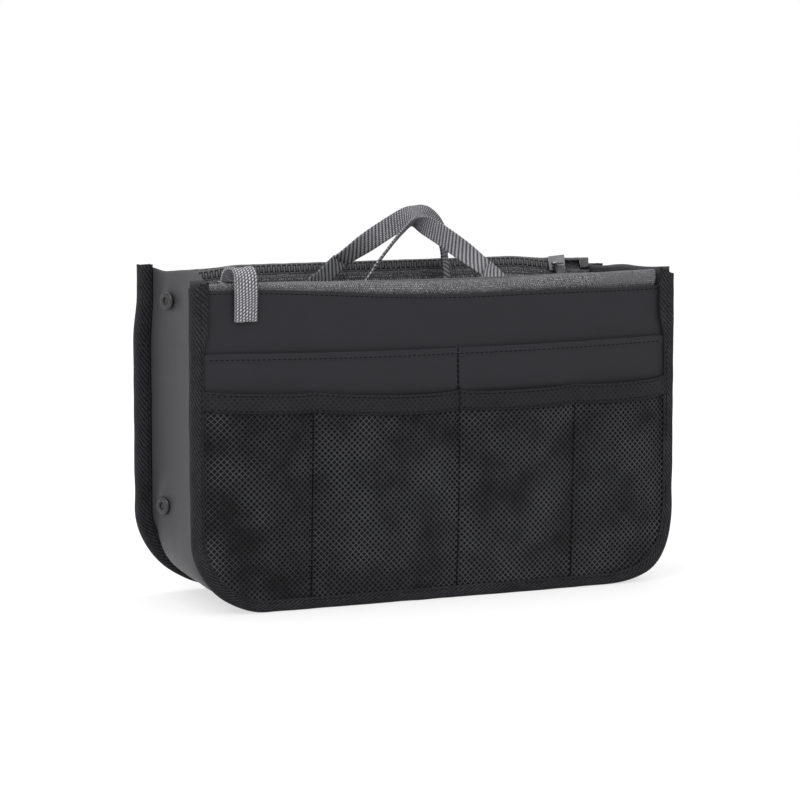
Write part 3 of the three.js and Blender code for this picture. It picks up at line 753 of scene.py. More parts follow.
def net_top(x):
    """Height of the net's edge, which sags between its seams and rises to the left."""
    sizes = bpy.context.scene.organizer_sizes
    sag = NET_DIP * pillow(x, SEAMS) + NET_DIP * (1 - (x / face_half()) ** 2)
    return sizes.net_top + NET_RISE - sag + NET_LEFT_RISE * smooth(-x, 0.0, FACE_END)


FACE_INSETS = {
    layer: inset_of(f"front_{layer}") for layer in ("panel", "slip_pocket", "mesh_pocket", "mesh_hem")
}


def face_inset(half, layer, x, z):
    """Distance of an outer layer in from the outside of the binding at a place on the face."""
    swell = crown(x, z)
    if layer != "panel":
        swell += slip_swell(x, z)
    if layer in ("mesh_pocket", "mesh_hem"):
        swell += net_swell(x, z)
    shift = REAR_RIPPLE_SHIFT if half == "rear" else 0.0
    return FACE_INSETS[layer] - swell + ripple(x + shift, z, 38 * MM, 0.18 * MM) * off_the_edges(x)


def up_the_layer(share, low, top):
    """Height at a share of a layer whose last rows lie in its top fold."""
    fold = top - FOLD_REACH
    if share < ROWS_BELOW_FOLD:
        return lerp(low, fold, share / ROWS_BELOW_FOLD)
    return lerp(fold, top, (share - ROWS_BELOW_FOLD) / (1 - ROWS_BELOW_FOLD))


def face_layer(half, layer, top, fold_lift):
    """A layer of the face from the floor seam to its top, with a fold along its top edge."""
    sizes = bpy.context.scene.organizer_sizes
    edge = HALF_WIDTH - LAYER_EDGE

    def place(across, up):
        x = lerp(-edge, edge, across)
        high = top(x)
        z = up_the_layer(up, low_edge(x, sizes.corner_radius, LAYER_EDGE), high)
        inset = face_inset(half, layer, x, z)
        inset -= fold_lift * smooth(z, high - FOLD_BAND - FOLD_STEP, high - FOLD_BAND)
        return half_point(half, x, inset, z), (x, z)

    return cloth_grid(150, 60, place)


def face_area(top):
    """Flat area of a layer of the face."""
    radius = bpy.context.scene.organizer_sizes.corner_radius
    return 2 * HALF_WIDTH * top - (2 - math.pi / 2) * radius**2


class ORGANIZER_OT_panels(bpy.types.Operator):
    """Makes the nylon panels and slip pockets"""

    bl_idname = "organizer.panels"
    bl_label = "Panels and slip pockets"

    def execute(self, context):
        sizes = context.scene.organizer_sizes
        for half in HALVES:
            panel = piece(
                f"{half}_panel_cloth",
                face_layer(half, "panel", lambda x: panel_top(half, x), 0.0),
                "panel nylon", f"{half}_half", [f"{half}_panel"], sizes.cloth_ply,
            )
            pocket = piece(
                f"{half}_slip_pocket_cloth",
                face_layer(half, "slip_pocket", slip_top, FOLD_LIFT),
                "pocket nylon", f"{half}_half", [f"{half}_slip_pocket"], sizes.cloth_ply,
            )
            face_area(sizes.slip_top)
        return {"FINISHED"}


def net_cut(bm, point, normal):
    """Cuts the net along a plane and takes away what lies outside it."""
    bmesh.ops.bisect_plane(
        bm, geom=[*bm.verts, *bm.edges, *bm.faces], plane_co=point, plane_no=normal, clear_outer=True
    )


NET_OPEN_SHARE = 0.68
NET_TUCK = 0.4
HEM_OVERLAP = 0.3
HEM_TUCK = 5 * MM
CORNER_CUTS = 6


def net_mesh(half):
    """A diamond net cut to the pocket, turned into strands and laid on the face."""
    sizes = bpy.context.scene.organizer_sizes
    low = NET_TUCK * sizes.binding_reach
    edge = HALF_WIDTH - low
    high = sizes.net_top - HEM_OVERLAP * sizes.hem_height
    reach = (2 * edge + high) / math.sqrt(2) / 2
    cells = round(2 * reach / sizes.net_pitch)
    bm = bmesh.new()
    bmesh.ops.create_grid(bm, x_segments=cells, y_segments=cells, size=reach)
    bmesh.ops.rotate(bm, verts=bm.verts, matrix=Matrix.Rotation(math.radians(45), 3, "Z"))
    bmesh.ops.translate(bm, verts=bm.verts, vec=(0.0, (high + low) / 2, 0.0))
    net_cut(bm, (0.0, high, 0.0), (0.0, 1.0, 0.0))
    net_cut(bm, (0.0, low, 0.0), (0.0, -1.0, 0.0))
    corner = sizes.corner_radius
    inner = corner - low
    for side in (-1, 1):
        net_cut(bm, (side * edge, 0.0, 0.0), (side, 0.0, 0.0))
        centre = Vector((side * (HALF_WIDTH - corner), corner, 0.0))
        for step in range(1, CORNER_CUTS):
            angle = math.pi / 2 * step / CORNER_CUTS
            ray = Vector((side * math.cos(angle), -math.sin(angle), 0.0))
            net_cut(bm, centre + ray * inner, ray)
    bmesh.ops.wireframe(
        bm, faces=bm.faces[:], thickness=sizes.net_yarn, offset=0.0, use_replace=True, use_boundary=True,
        use_even_offset=True,
    )
    for vert in bm.verts:
        x, z, out = vert.co
        inset = face_inset(half, "mesh_pocket", x, z) - out
        vert.co = half_point(half, x, inset, z)
    return bm


class ORGANIZER_OT_net_pockets(bpy.types.Operator):
    """Makes the net pockets and their hems"""

    bl_idname = "organizer.net_pockets"
    bl_label = "Net pockets"

    def execute(self, context):
        sizes = context.scene.organizer_sizes
        for half in HALVES:
            net = piece(
                f"{half}_net", net_mesh(half), "net yarn", f"{half}_half", [f"{half}_mesh_pocket"]
            )
            NET_OPEN_SHARE * face_area(sizes.net_top)
            piece(
                f"{half}_net_hem", self.hem(half), "net hem", f"{half}_half",
                [f"{half}_mesh_hem"], sizes.cloth_ply,
            )
        return {"FINISHED"}

    def hem(self, half):
        """The folded band along the top of the net."""
        sizes = bpy.context.scene.organizer_sizes
        edge = face_half() + HEM_TUCK

        def place(across, up):
            x = lerp(-edge, edge, across)
            high = net_top(x)
            z = lerp(high - sizes.hem_height, high, up)
            roll = FOLD_LIFT * (1 - (2 * up - 1) ** 6)
            inset = face_inset(half, "mesh_hem", x, z) - roll
            return half_point(half, x, inset, z), (x, z)

        return cloth_grid(150, 16, place)


INNER_WALL_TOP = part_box("front_inner_wall")[1].z
INNER_POCKET_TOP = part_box("front_inner_pocket")[1].z
INNER_POCKET_GAP = 1.0 * MM
INNER_POCKET_SWELL = 1.2 * MM


class ORGANIZER_OT_inner_walls(bpy.types.Operator):
    """Makes the inner walls and their slip pockets"""

    bl_idname = "organizer.inner_walls"
    bl_label = "Inner walls"

    def execute(self, context):
        sizes = context.scene.organizer_sizes
        for half in HALVES:
            wall = piece(
                f"{half}_inner_wall_cloth",
                self.layer(half, "inner_wall", INNER_WALL_TOP, LAYER_EDGE, 0.0),
                "lining nylon", f"{half}_half", [f"{half}_inner_wall"], sizes.cloth_ply,
            )
            face_area(INNER_WALL_TOP)
            pocket_edge = sizes.seam_allowance + INNER_POCKET_GAP
            pocket = piece(
                f"{half}_inner_pocket_cloth",
                self.layer(half, "inner_pocket", INNER_POCKET_TOP, pocket_edge, INNER_POCKET_SWELL),
                "lining nylon", f"{half}_half", [f"{half}_inner_pocket"], sizes.cloth_ply,
            )
            face_area(INNER_POCKET_TOP)
        return {"FINISHED"}

    def layer(self, half, node, top, edge_inset, swell):
        """An inner layer up to a level top, swelling a little towards the middle of the bag."""
        sizes = bpy.context.scene.organizer_sizes
        edge = HALF_WIDTH - edge_inset
        base = inset_of(f"front_{node}")

        def place(across, up):
            x = lerp(-edge, edge, across)
            z = up_the_layer(up, low_edge(x, sizes.corner_radius, edge_inset), top)
            inset = base + swell * pillow(x, (0.0,)) * smooth(z, 30 * MM, top)
            inset += ripple(x, z, 45 * MM, 0.3 * MM) * off_the_edges(x)
            inset += FOLD_LIFT * smooth(z, top - FOLD_BAND - FOLD_STEP, top - FOLD_BAND)
            return half_point(half, x, inset, z), (x, z)

        return cloth_grid(120, 50, place)


# How far each binding's top is pulled down on the face and at the edge, for the left and right of a half
TOP_CUTS = {
    "front": ((0.0, 3.5 * MM), (0.5 * MM, 4.0 * MM)),
    "rear": ((6.5 * MM, 6.5 * MM), (-1.2 * MM, -1.6 * MM)),
}
TOP_UNEVEN = {"front": 0.7 * MM, "rear": 0.5 * MM}
# Share of a binding's section that lies on the face, where that turns over the edge, and where it grows slim
FACE_SHARE = 0.4
TAPE_TURN = 1.1 * MM
SLIM_BELOW = (HEIGHT - 42 * MM, HEIGHT - 25 * MM)


def top_cut(half, x, z, over):
    """How far a place on a binding is pulled down near its top: over runs from the face to the inside."""
    face_cut, edge_cut = hand_of(TOP_CUTS[half], x)
    cut = lerp(face_cut, edge_cut, smooth(over, 0.05, FACE_SHARE)) * smooth(z, HEIGHT - 25 * MM, HEIGHT)
    uneven = noise.noise(Vector((over * 3.3, x * 40, 4.4)))
    return cut + TOP_UNEVEN[half] * uneven * smooth(z, HEIGHT - 6 * MM, HEIGHT)


class ORGANIZER_OT_bindings(bpy.types.Operator):
    """Makes the edge tapes folded over the seams"""

    bl_idname = "organizer.bindings"
    bl_label = "Edge bindings"

    def execute(self, context):
        sizes = context.scene.organizer_sizes
        for half in HALVES:
            piece(
                f"{half}_edge_tape", self.tape(half), "edge tape", f"{half}_half",
                [f"{half}_binding"], sizes.binding_ply,
            )
        return {"FINISHED"}

    def tape(self, half):
        """One tape swept round the seam line: its section is a soft channel over the layers."""
        sizes = bpy.context.scene.organizer_sizes
        skin = sizes.binding_ply / 2
        back = BINDING_DEPTH - skin
        section = [
            Vector((sizes.binding_reach, skin + 0.5 * MM)),
            Vector((sizes.binding_reach - 1.0 * MM, skin + 0.1 * MM)),
            Vector((6.0 * MM, skin - 0.15 * MM)),
            Vector((3.0 * MM, skin)),
            Vector((TAPE_TURN, skin + 0.5 * MM)),
            Vector((skin, BINDING_DEPTH * 0.3)),
            Vector((skin - 0.1 * MM, BINDING_DEPTH * 0.5)),
            Vector((skin, BINDING_DEPTH * 0.7)),
            Vector((TAPE_TURN, back - 0.5 * MM)),
            Vector((3.0 * MM, back)),
            Vector((6.0 * MM, back + 0.1 * MM)),
            Vector((sizes.binding_back_reach, back - 0.2 * MM)),
        ]
        total = outline_length(sizes.corner_radius)
        width = sizes.binding_reach + BINDING_DEPTH + sizes.binding_back_reach
        slim = (sizes.binding_face - TAPE_TURN) / (sizes.binding_reach - TAPE_TURN)

        def place(along, over):
            length = along * total
            point, inward = outline_at(length, sizes.corner_radius)
            spot = spline(section, over)
            inset = spot.x
            if over < FACE_SHARE and inset > TAPE_TURN:
                share = lerp(slim, 1.0, smooth(point.y, *SLIM_BELOW))
                inset = TAPE_TURN + (inset - TAPE_TURN) * share
            inset += 0.35 * MM * noise.noise(Vector((length / (14 * MM), over * 3, 1.3)))
            deep = spot.y + 0.2 * MM * noise.noise(Vector((length / (9 * MM), over * 4, 8.1)))
            z = max(point.y + inward.y * inset, skin)
            z -= top_cut(half, point.x, z, over)
            return half_point(half, point.x + inward.x * inset, deep, z), (length, over * width)

        return cloth_grid(330, 26, place)


SNAPS = tuple(
    f"{hand}_{level}_snap_{kind}"
    for hand in ("left", "right") for level in ("upper", "lower") for kind in ("socket", "stud")
)
SOCKET_LEAN = math.radians(22)
SNAP_GRIP = 9 * MM

GUSSET_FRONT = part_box("gusset")[0].y + 0.35 * MM
GUSSET_PLY = 0.6 * MM
GUSSET_BOW = 1.5 * MM
GUSSET_TOP_DIP = 1.6 * MM
GUSSET_LEFT_RISE = 5.5 * MM
FLOOR_SAG = 7.4 * MM
FLOOR_SAG_SHARE = 0.92


class ORGANIZER_OT_gusset(bpy.types.Operator):
    """Makes the gusset strip of the two ends and the floor"""

    bl_idname = "organizer.gusset"
    bl_label = "Gusset"

    def execute(self, context):
        sizes = context.scene.organizer_sizes
        made = piece(
            "gusset_cloth", self.strip(), "gusset nylon", "front_half", ["gusset"], GUSSET_PLY
        )
        total = outline_length(sizes.corner_radius)
        fold = next(joint for joint in frame["joints"] if joint["name"] == "width_fold")
        travel = max(abs(end) for end in fold["range_m"])
        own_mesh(made)
        return {"FINISHED"}

    def snap_pull(self, places, point, spot, z):
        """How loose the cloth is beside the snaps, and how far it follows the sockets that lean."""
        loose = 1.0
        pucker = 0.0
        for snap, is_socket in places:
            if snap.x * point.x > 0:
                away = (Vector((spot.y, z)) - Vector((snap.y, snap.z))).length
                grip = math.exp(-((away / SNAP_GRIP) ** 2))
                loose *= 1 - grip
                if is_socket:
                    pucker -= (spot.y - snap.y) * math.tan(SOCKET_LEAN) * grip
        return loose, pucker

    def top_dip(self, point, spot, slack):
        """How far the strip's top edge is drawn down: less at the left, more at the rear right."""
        dip = GUSSET_TOP_DIP * slack * smooth(point.y, HEIGHT - 30 * MM, HEIGHT)
        if point.x < 0:
            ahead = 0.5 + 0.5 * spot.y / GUSSET_FRONT
            rise = GUSSET_LEFT_RISE * smooth(ahead, 0.1, 0.75) * (1 - 0.8 * smooth(ahead, 0.82, 1.0))
            return dip - rise * smooth(point.y, HEIGHT - 40 * MM, HEIGHT)
        rear_cut = TOP_CUTS["rear"][0][1] * smooth(spot.y, 0.3 * GUSSET_FRONT, -GUSSET_FRONT)
        return dip + rear_cut * smooth(point.y, HEIGHT - 25 * MM, HEIGHT)

    def strip(self):
        """The strip round the ends and the floor, with its edges turned out into both seams."""
        sizes = bpy.context.scene.organizer_sizes
        total = outline_length(sizes.corner_radius)
        web = sizes.seam_allowance
        front = GUSSET_FRONT
        edge = [
            Vector((LAYER_EDGE, front)),
            Vector((0.5 * web, front)),
            Vector((0.88 * web, front + 0.2 * MM)),
            Vector((web, front + 1.6 * MM)),
            Vector((web, front * 0.6)),
            Vector((web, front * 0.3)),
        ]
        section = [*edge, Vector((web, 0.0)), *(Vector((spot.x, -spot.y)) for spot in reversed(edge))]
        places = [(middle(name), name.endswith("socket")) for name in SNAPS]

        def place(along, over):
            length = along * total
            point, inward = outline_at(length, sizes.corner_radius)
            spot = spline(section, over)
            slack = max(0.0, 1 - (spot.y / front) ** 2)
            rear = smooth(spot.y, front, -front)
            z = point.y + inward.y * spot.x
            loose, pucker = self.snap_pull(places, point, spot, z)
            bow = (GUSSET_BOW + ripple(spot.y, z, 30 * MM, 1.3 * MM)) * smooth(z, 20 * MM, 60 * MM)
            bow += ripple(spot.y, length, 12 * MM, 0.25 * MM)
            sag = FLOOR_SAG * max(0.0, 1 - abs(spot.y / (FLOOR_SAG_SHARE * front)) ** 6)
            sag *= 1 - smooth(point.y, 12 * MM, 46 * MM)
            inset = spot.x + (bow * slack - sag) * loose + pucker
            lift = corner_lift(-point.x, z) * rear - self.top_dip(point, spot, slack)
            x, z = corner_fill(point.x + inward.x * inset, point.y + inward.y * inset, 1 - rear)
            x += corner_lean(-x, z) * rear
            return Vector((x, spot.y, z * lerp(1.0, REAR_RISE, rear) + lift)), (length, spot.y)

        return cloth_grid(300, 84, place)


# The zip chain leans a little from upright and faces the middle of the bag
CHAIN_LEAN = math.radians(12)
CHAIN_DOWN = Vector((math.sin(CHAIN_LEAN), -math.cos(CHAIN_LEAN)))
CHAIN_FACE = Vector((math.cos(CHAIN_LEAN), math.sin(CHAIN_LEAN)))
CHAIN_WIDTH = 6 * MM
CHAIN_LIFTS = {"front": 2.0 * MM, "rear": 3.4 * MM}
SLIDER_LIFT = 1.2 * MM
CHAIN_SAG_SHARE = 0.55
CHAIN_PEEK = 1.2 * MM
TOOTH_REACH = 4.6 * MM
TOOTH_WIDTH = 1.35 * MM
TOOTH_HEIGHT = 2.5 * MM
TAB_HEIGHT = 2.4 * MM
BEAD_RADIUS = 0.75 * MM
OUTER_TEETH_MIDDLE = middle("front_zip_outer_teeth")
CHAIN_START = Vector((OUTER_TEETH_MIDDLE.y - OUTER_FACE, OUTER_TEETH_MIDDLE.z)) - CHAIN_DOWN * TOOTH_REACH / 2
ZIP_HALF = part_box("front_zip_outer_tape")[1].x
TAB_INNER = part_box("front_zip_open_end_tab")[0].x
SLIDER_HOMES = {"front": middle("front_slider").x, "rear": -middle("rear_slider").x}
PANEL_NODE_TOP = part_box("front_panel")[1].z
TAPE_INSET = 3.6 * MM
TAPE_TUCK = 1.3 * MM
ZIP_TAPE_PLY = 0.7 * MM
PUFF_SEEDS = {"front": 5.5, "rear": 2.1}


def chain_place(across, out):
    """(inset, height) of a place on the chain: across it from the upper edge, and out of its face."""
    return CHAIN_START + CHAIN_DOWN * across + CHAIN_FACE * out


def chain_lift(half, x):
    """How far the chain is pushed up: less at its ends, where the slider stops."""
    return lerp(CHAIN_LIFTS[half], SLIDER_LIFT, smooth(abs(x), 85 * MM, 112 * MM))


def chain_point(half, x, across, out):
    """A point on the chain, which follows part of the zip's sag."""
    spot = chain_place(across, out)
    spot.y += chain_lift(half, x)
    drop = zip_drop(half, x)
    if half == "front":
        spot.y += CHAIN_PEEK * drop / bpy.context.scene.organizer_sizes.zip_sag
    return half_point(half, x, spot.x, spot.y - CHAIN_SAG_SHARE * drop)


class ORGANIZER_OT_zips(bpy.types.Operator):
    """Makes the zip tapes, the rows of teeth and the end tabs"""

    bl_idname = "organizer.zips"
    bl_label = "Zips"

    def execute(self, context):
        sizes = context.scene.organizer_sizes
        for half in HALVES:
            body = f"{half}_half"
            for side, line, shares in (
                ("outer", self.outer_line(), (1.0, CHAIN_SAG_SHARE)),
                ("inner", self.inner_line(), (CHAIN_SAG_SHARE, 0.0)),
            ):
                zip_side = f"{half}_zip_{side}"
                piece(
                    f"{zip_side}_tape_cloth", self.tape(half, line, shares), "zip tape", body,
                    [f"{zip_side}_tape"], ZIP_TAPE_PLY,
                )
                piece(
                    f"{zip_side}_tooth_row", self.teeth(half, side, sizes.tooth_pitch), "moulded teeth", body,
                    [f"{zip_side}_teeth"],
                )
            for end in ("closed", "open"):
                piece(
                    f"{half}_zip_{end}_tab", self.tab(half, end), "black enamel", body,
                    [f"{half}_zip_{end}_end_tab"],
                )
        return {"FINISHED"}

    def outer_line(self):
        """Section of the outer tape: up behind the panel, rolled over the top and down to the chain."""
        top = HEIGHT - PANEL_TOP_DROP
        end = chain_place(0.4 * MM, 0.0)
        return [
            Vector((TAPE_INSET, PANEL_NODE_TOP - 8 * MM)),
            Vector((TAPE_INSET, PANEL_NODE_TOP - 3 * MM)),
            Vector((TAPE_INSET - 0.5 * MM, PANEL_NODE_TOP + 0.5 * MM)),
            Vector((TAPE_INSET - 0.5 * MM, top - 3.0 * MM)),
            Vector((TAPE_INSET + 0.5 * MM, top - 0.7 * MM)),
            Vector((TAPE_INSET + 2.2 * MM, top - 0.35 * MM)),
            Vector((end.x - 0.5 * MM, top - 1.1 * MM)),
            end,
        ]

    def inner_line(self):
        """Section of the inner tape: from the chain in to the inner wall and down along it."""
        low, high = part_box("front_zip_inner_tape")
        wall = low.y - OUTER_FACE + 0.3 * MM
        return [
            chain_place(CHAIN_WIDTH - 0.4 * MM, 0.0),
            chain_place(CHAIN_WIDTH + 1.6 * MM, 0.0),
            Vector((wall + 2.2 * MM, lerp(low.z, high.z, 0.62))),
            Vector((wall + 0.2 * MM, lerp(low.z, high.z, 0.42))),
            Vector((wall, lerp(low.z, high.z, 0.2))),
            Vector((wall, low.z)),
        ]

    def tape(self, half, line, shares):
        """A tape along the zip that takes its share of the sag from one edge to the other."""
        width = course_length(line)
        is_outer = shares[0] == 1.0

        def place(along, over):
            x = lerp(-ZIP_HALF, ZIP_HALF, along)
            spot = spline(line, over)
            at_chain = smooth(over, 0.7, 1.0) if is_outer else 1 - smooth(over, 0.2, 0.5)
            drop = zip_drop(half, x) * lerp(shares[0], shares[1], smooth(over, 0.3, 1.0))
            drop -= chain_lift(half, x) * at_chain
            puff = 0.3 * MM * noise.noise(Vector((x / (7 * MM), over * 3, PUFF_SEEDS[half])))
            z = spot.y - drop + 0.5 * puff
            inset = spot.x + puff
            if is_outer and over < 0.6:
                top = panel_top(half, x)
                inset += TAPE_TUCK * (1 - smooth(z, top - 0.3 * MM, top + 3.2 * MM))
            return half_point(half, x, inset, z), (x, over * width)

        return cloth_grid(260, 34, place)

    def teeth(self, half, side, pitch):
        """One row: a bead along the tape's edge with bevelled teeth that reach between the other row's."""
        bm = bmesh.new()
        first = SLIDER_HOMES[half] + (0.5 if side == "outer" else 1.0) * pitch
        count = int((TAB_INNER - 1.0 * MM - first) / pitch)
        size = Matrix.Diagonal((TOOTH_WIDTH, TOOTH_REACH - 0.5 * MM, TOOTH_HEIGHT, 1.0))
        cube = bmesh.ops.create_cube(bm, size=1.0, matrix=size)["verts"]
        bmesh.ops.translate(bm, verts=cube, vec=(first, TOOTH_REACH / 2 + 0.2 * MM, 0.0))
        for vert in cube:
            if vert.co.y < TOOTH_REACH / 2:
                vert.co.x = lerp(first, vert.co.x, 0.72)
            else:
                vert.co.z *= 0.86
        soften(bm, bm.edges[:], 0.28 * MM, 2)
        tooth = [*bm.verts, *bm.edges, *bm.faces]
        for step in range(1, count):
            copy = bmesh.ops.duplicate(bm, geom=tooth)["geom"]
            moved = [item for item in copy if isinstance(item, bmesh.types.BMVert)]
            bmesh.ops.translate(bm, verts=moved, vec=(step * pitch, 0.0, 0.0))
        self.bead(bm, SLIDER_HOMES[half], TAB_INNER - 0.3 * MM)
        for vert in bm.verts:
            x, across, out = vert.co
            vert.co = chain_point(half, x, across if side == "outer" else CHAIN_WIDTH - across, out)
        bmesh.ops.recalc_face_normals(bm, faces=bm.faces)
        return bm

    def bead(self, bm, start, end):
        """The corded edge that carries the teeth."""
        turn = Matrix.Rotation(math.radians(90), 4, "Y")
        place = Matrix.Translation(((start + end) / 2, 0.55 * MM, 0.0))
        rod = bmesh.ops.create_cone(
            bm, cap_ends=True, segments=8, radius1=BEAD_RADIUS, radius2=BEAD_RADIUS, depth=end - start,
            matrix=place @ turn,
        )["verts"]
        long_edges = {
            edge for vert in rod for edge in vert.link_edges
            if abs(edge.verts[0].co.x - edge.verts[1].co.x) > MM
        }
        bmesh.ops.subdivide_edges(bm, edges=list(long_edges), cuts=60, use_grid_fill=True)

    def tab(self, half, end):
        """A rounded plug past the last teeth."""
        low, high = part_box(f"front_zip_{end}_end_tab")
        bm = bmesh.new()
        size = Matrix.Diagonal((high.x - low.x, CHAIN_WIDTH, TAB_HEIGHT, 1.0))
        cube = bmesh.ops.create_cube(bm, size=1.0, matrix=size)["verts"]
        bmesh.ops.translate(bm, verts=cube, vec=((low.x + high.x) / 2, CHAIN_WIDTH / 2, 0.0))
        soften(bm, bm.edges[:], 0.8 * MM, 3)
        for vert in bm.verts:
            vert.co = chain_point(half, *vert.co)
        bmesh.ops.recalc_face_normals(bm, faces=bm.faces)
        return bm


BAIL_OUT = 4.8 * MM
BAIL_REACH = 3.5 * MM
BAIL_RADIUS = 0.6 * MM
BAIL_WIDENING = 1.5
PLATE_OUT = 1.55 * MM
PLATE_WIDTH = 9.6 * MM
PLATE_PLY = 1.1 * MM
PLATE_WALL = (1.0 * MM, 1.4 * MM)
PLATE_WALL_APART = 4.0 * MM
WEDGE = (2.6 * MM, 2.2 * MM, 3.6 * MM)
WEDGE_BACK = 2.0 * MM


class ORGANIZER_OT_sliders(bpy.types.Operator):
    """Makes the zip sliders"""

    bl_idname = "organizer.sliders"
    bl_label = "Zip sliders"

    def execute(self, context):
        for half in HALVES:
            piece(
                f"{half}_zip_slider", self.slider(half), "nickel", f"{half}_slider",
                [f"{half}_slider"],
            )
        return {"FINISHED"}

    def block(self, bm, size, centre, bevel):
        """A bevelled block of the slider, in places along, across and out of the chain."""
        made = bmesh.ops.create_cube(bm, size=1.0, matrix=Matrix.Diagonal((*size, 1.0)))["verts"]
        bmesh.ops.translate(bm, verts=made, vec=centre)
        edges = list({edge for vert in made for edge in vert.link_edges})
        soften(bm, edges, bevel, 3)

    def slider(self, half):
        """Two plates with turned edges, the wedge between them and the bail on the face."""
        low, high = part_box("front_slider")
        length = high.x - low.x
        middle_across = CHAIN_WIDTH / 2
        bm = bmesh.new()
        for side in (-1, 1):
            plate_out = side * (PLATE_OUT + 0.5 * MM)
            wall_out = side * (PLATE_OUT - 0.2 * MM)
            self.block(bm, (length, PLATE_WIDTH, PLATE_PLY), (0.0, middle_across, plate_out), 0.45 * MM)
            for edge in (-1, 1):
                self.block(
                    bm, (length - 2.4 * MM, *PLATE_WALL),
                    (0.0, middle_across + edge * PLATE_WALL_APART, wall_out), 0.3 * MM,
                )
        for vert in bm.verts:
            taper = lerp(1.06, 0.9, smooth(vert.co.x, -length / 2, length / 2))
            vert.co.y = lerp(middle_across, vert.co.y, taper)
        self.block(bm, WEDGE, (-WEDGE_BACK, middle_across, 0.0), 0.5 * MM)
        self.bail(bm, middle_across)
        for vert in bm.verts:
            x, across, out = vert.co
            spot = chain_place(across, out)
            vert.co = half_point(half, SLIDER_HOMES[half] + x, spot.x, spot.y + SLIDER_LIFT)
        bmesh.ops.recalc_face_normals(bm, faces=bm.faces)
        return bm

    def bail(self, bm, across):
        """The arch that the ribbon is looped under: a round section spun half a turn."""
        foot = PLATE_OUT + 0.6 * MM
        ring = bmesh.ops.create_circle(bm, cap_ends=True, segments=12, radius=BAIL_RADIUS)["verts"]
        bmesh.ops.translate(bm, verts=ring, vec=(BAIL_REACH, across, foot))
        faces = list({face for vert in ring for face in vert.link_faces})
        edges = list({edge for vert in ring for edge in vert.link_edges})
        spun = bmesh.ops.spin(
            bm, geom=[*ring, *edges, *faces], cent=(0.0, across, foot), axis=(0.0, -1.0, 0.0), angle=math.pi,
            steps=16,
        )["geom_last"]
        arch = set(ring)
        frontier = [item for item in spun if isinstance(item, bmesh.types.BMVert)]
        arch.update(frontier)
        while frontier:
            vert = frontier.pop()
            for edge in vert.link_edges:
                other = edge.other_vert(vert)
                if other not in arch:
                    arch.add(other)
                    frontier.append(other)
        for vert in arch:
            vert.co.z = foot + (vert.co.z - foot) * (BAIL_OUT - foot) / BAIL_REACH
            vert.co.y = lerp(across, vert.co.y, BAIL_WIDENING)


RIBBON_PLY = 0.6 * MM
RIBBON_LOOP = 1.5 * MM
RIBBON_GATHER = 4.8 * MM
RIBBON_FACE = 0.9 * MM
RIBBON_DRIFTS = {"front": 7.6 * MM, "rear": -7 * MM}


class ORGANIZER_OT_pull_ribbons(bpy.types.Operator):
    """Makes the ribbon pulls of the zips"""

    bl_idname = "organizer.pull_ribbons"
    bl_label = "Pull ribbons"

    def execute(self, context):
        for half in HALVES:
            piece(
                f"{half}_ribbon", self.ribbon(half), "ribbon weave", f"{half}_pull",
                [f"{half}_pull_ribbon"], RIBBON_PLY,
            )
        return {"FINISHED"}

    def course(self, half):
        """The ribbon's line from the bail, as (inset, height): over the top to the front, or down inside."""
        bar = chain_place(CHAIN_WIDTH / 2, BAIL_OUT)
        low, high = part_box(f"{half}_pull_ribbon")
        if half == "rear":
            inside = bar.x + 0.8 * MM
            return [
                bar,
                Vector((inside, bar.y - 5 * MM)),
                Vector((inside, lerp(low.z, bar.y, 0.5))),
                Vector((inside, low.z)),
            ]
        face = RIBBON_FACE
        return [
            bar,
            Vector((bar.x - 1.0 * MM, HEIGHT + 1.6 * MM)),
            Vector(((bar.x + face) / 2, high.z + 1.2 * MM)),
            Vector((face + 0.6 * MM, HEIGHT + 3.2 * MM)),
            Vector((face - 0.6 * MM, HEIGHT - 6 * MM)),
            Vector((face - 0.6 * MM, lerp(low.z, HEIGHT, 0.4))),
            Vector((face, low.z)),
        ]

    def ribbon(self, half):
        """Two layers along the course, joined round the bail's bar and gathered there."""
        sizes = bpy.context.scene.organizer_sizes
        course = self.course(half)
        length = course_length(course)
        apart = 0.5 * RIBBON_PLY + 0.1 * MM

        def place(along, over):
            side = 1 if along < 0.5 else -1
            share = abs(2 * along - 1)
            far = share * length
            spot = spline(course, share)
            run = (spline(course, share + 0.01) - spline(course, share - 0.01)).normalized()
            offset = side * (apart + (RIBBON_LOOP - apart) * math.exp(-((far / (2 * RIBBON_LOOP)) ** 2)))
            offset *= smooth(far, -0.3 * MM, 1.0 * MM)
            spread = smooth(far, 3 * MM, 15 * MM)
            span = lerp(RIBBON_GATHER, sizes.ribbon_width, spread)
            cross = 2 * over - 1
            curl = (1 - spread) * 1.6 * MM * cross * cross + 0.35 * MM * math.sin(3 * cross + far / (9 * MM))
            fray = 0.9 * MM * noise.noise(Vector((over * 23, side, 6.2))) * smooth(share, 0.97, 1.0)
            x = SLIDER_HOMES[half] + RIBBON_DRIFTS[half] * smooth(far, 3 * MM, 20 * MM) + cross * span / 2
            inset = spot.x - (offset + curl) * run.y
            z = spot.y + (offset + curl) * run.x + fray
            return half_point(half, x, inset, z), (along * 2 * length, cross * sizes.ribbon_width / 2)

        return cloth_grid(120, 14, place)


HANDLE_LEANS = {"front": math.radians(29), "rear": math.radians(37)}
HANDLE_RISES = {"front": 31 * MM, "rear": 34.5 * MM}
APEX_SHIFTS = {"front": 0.0, "rear": -9 * MM}
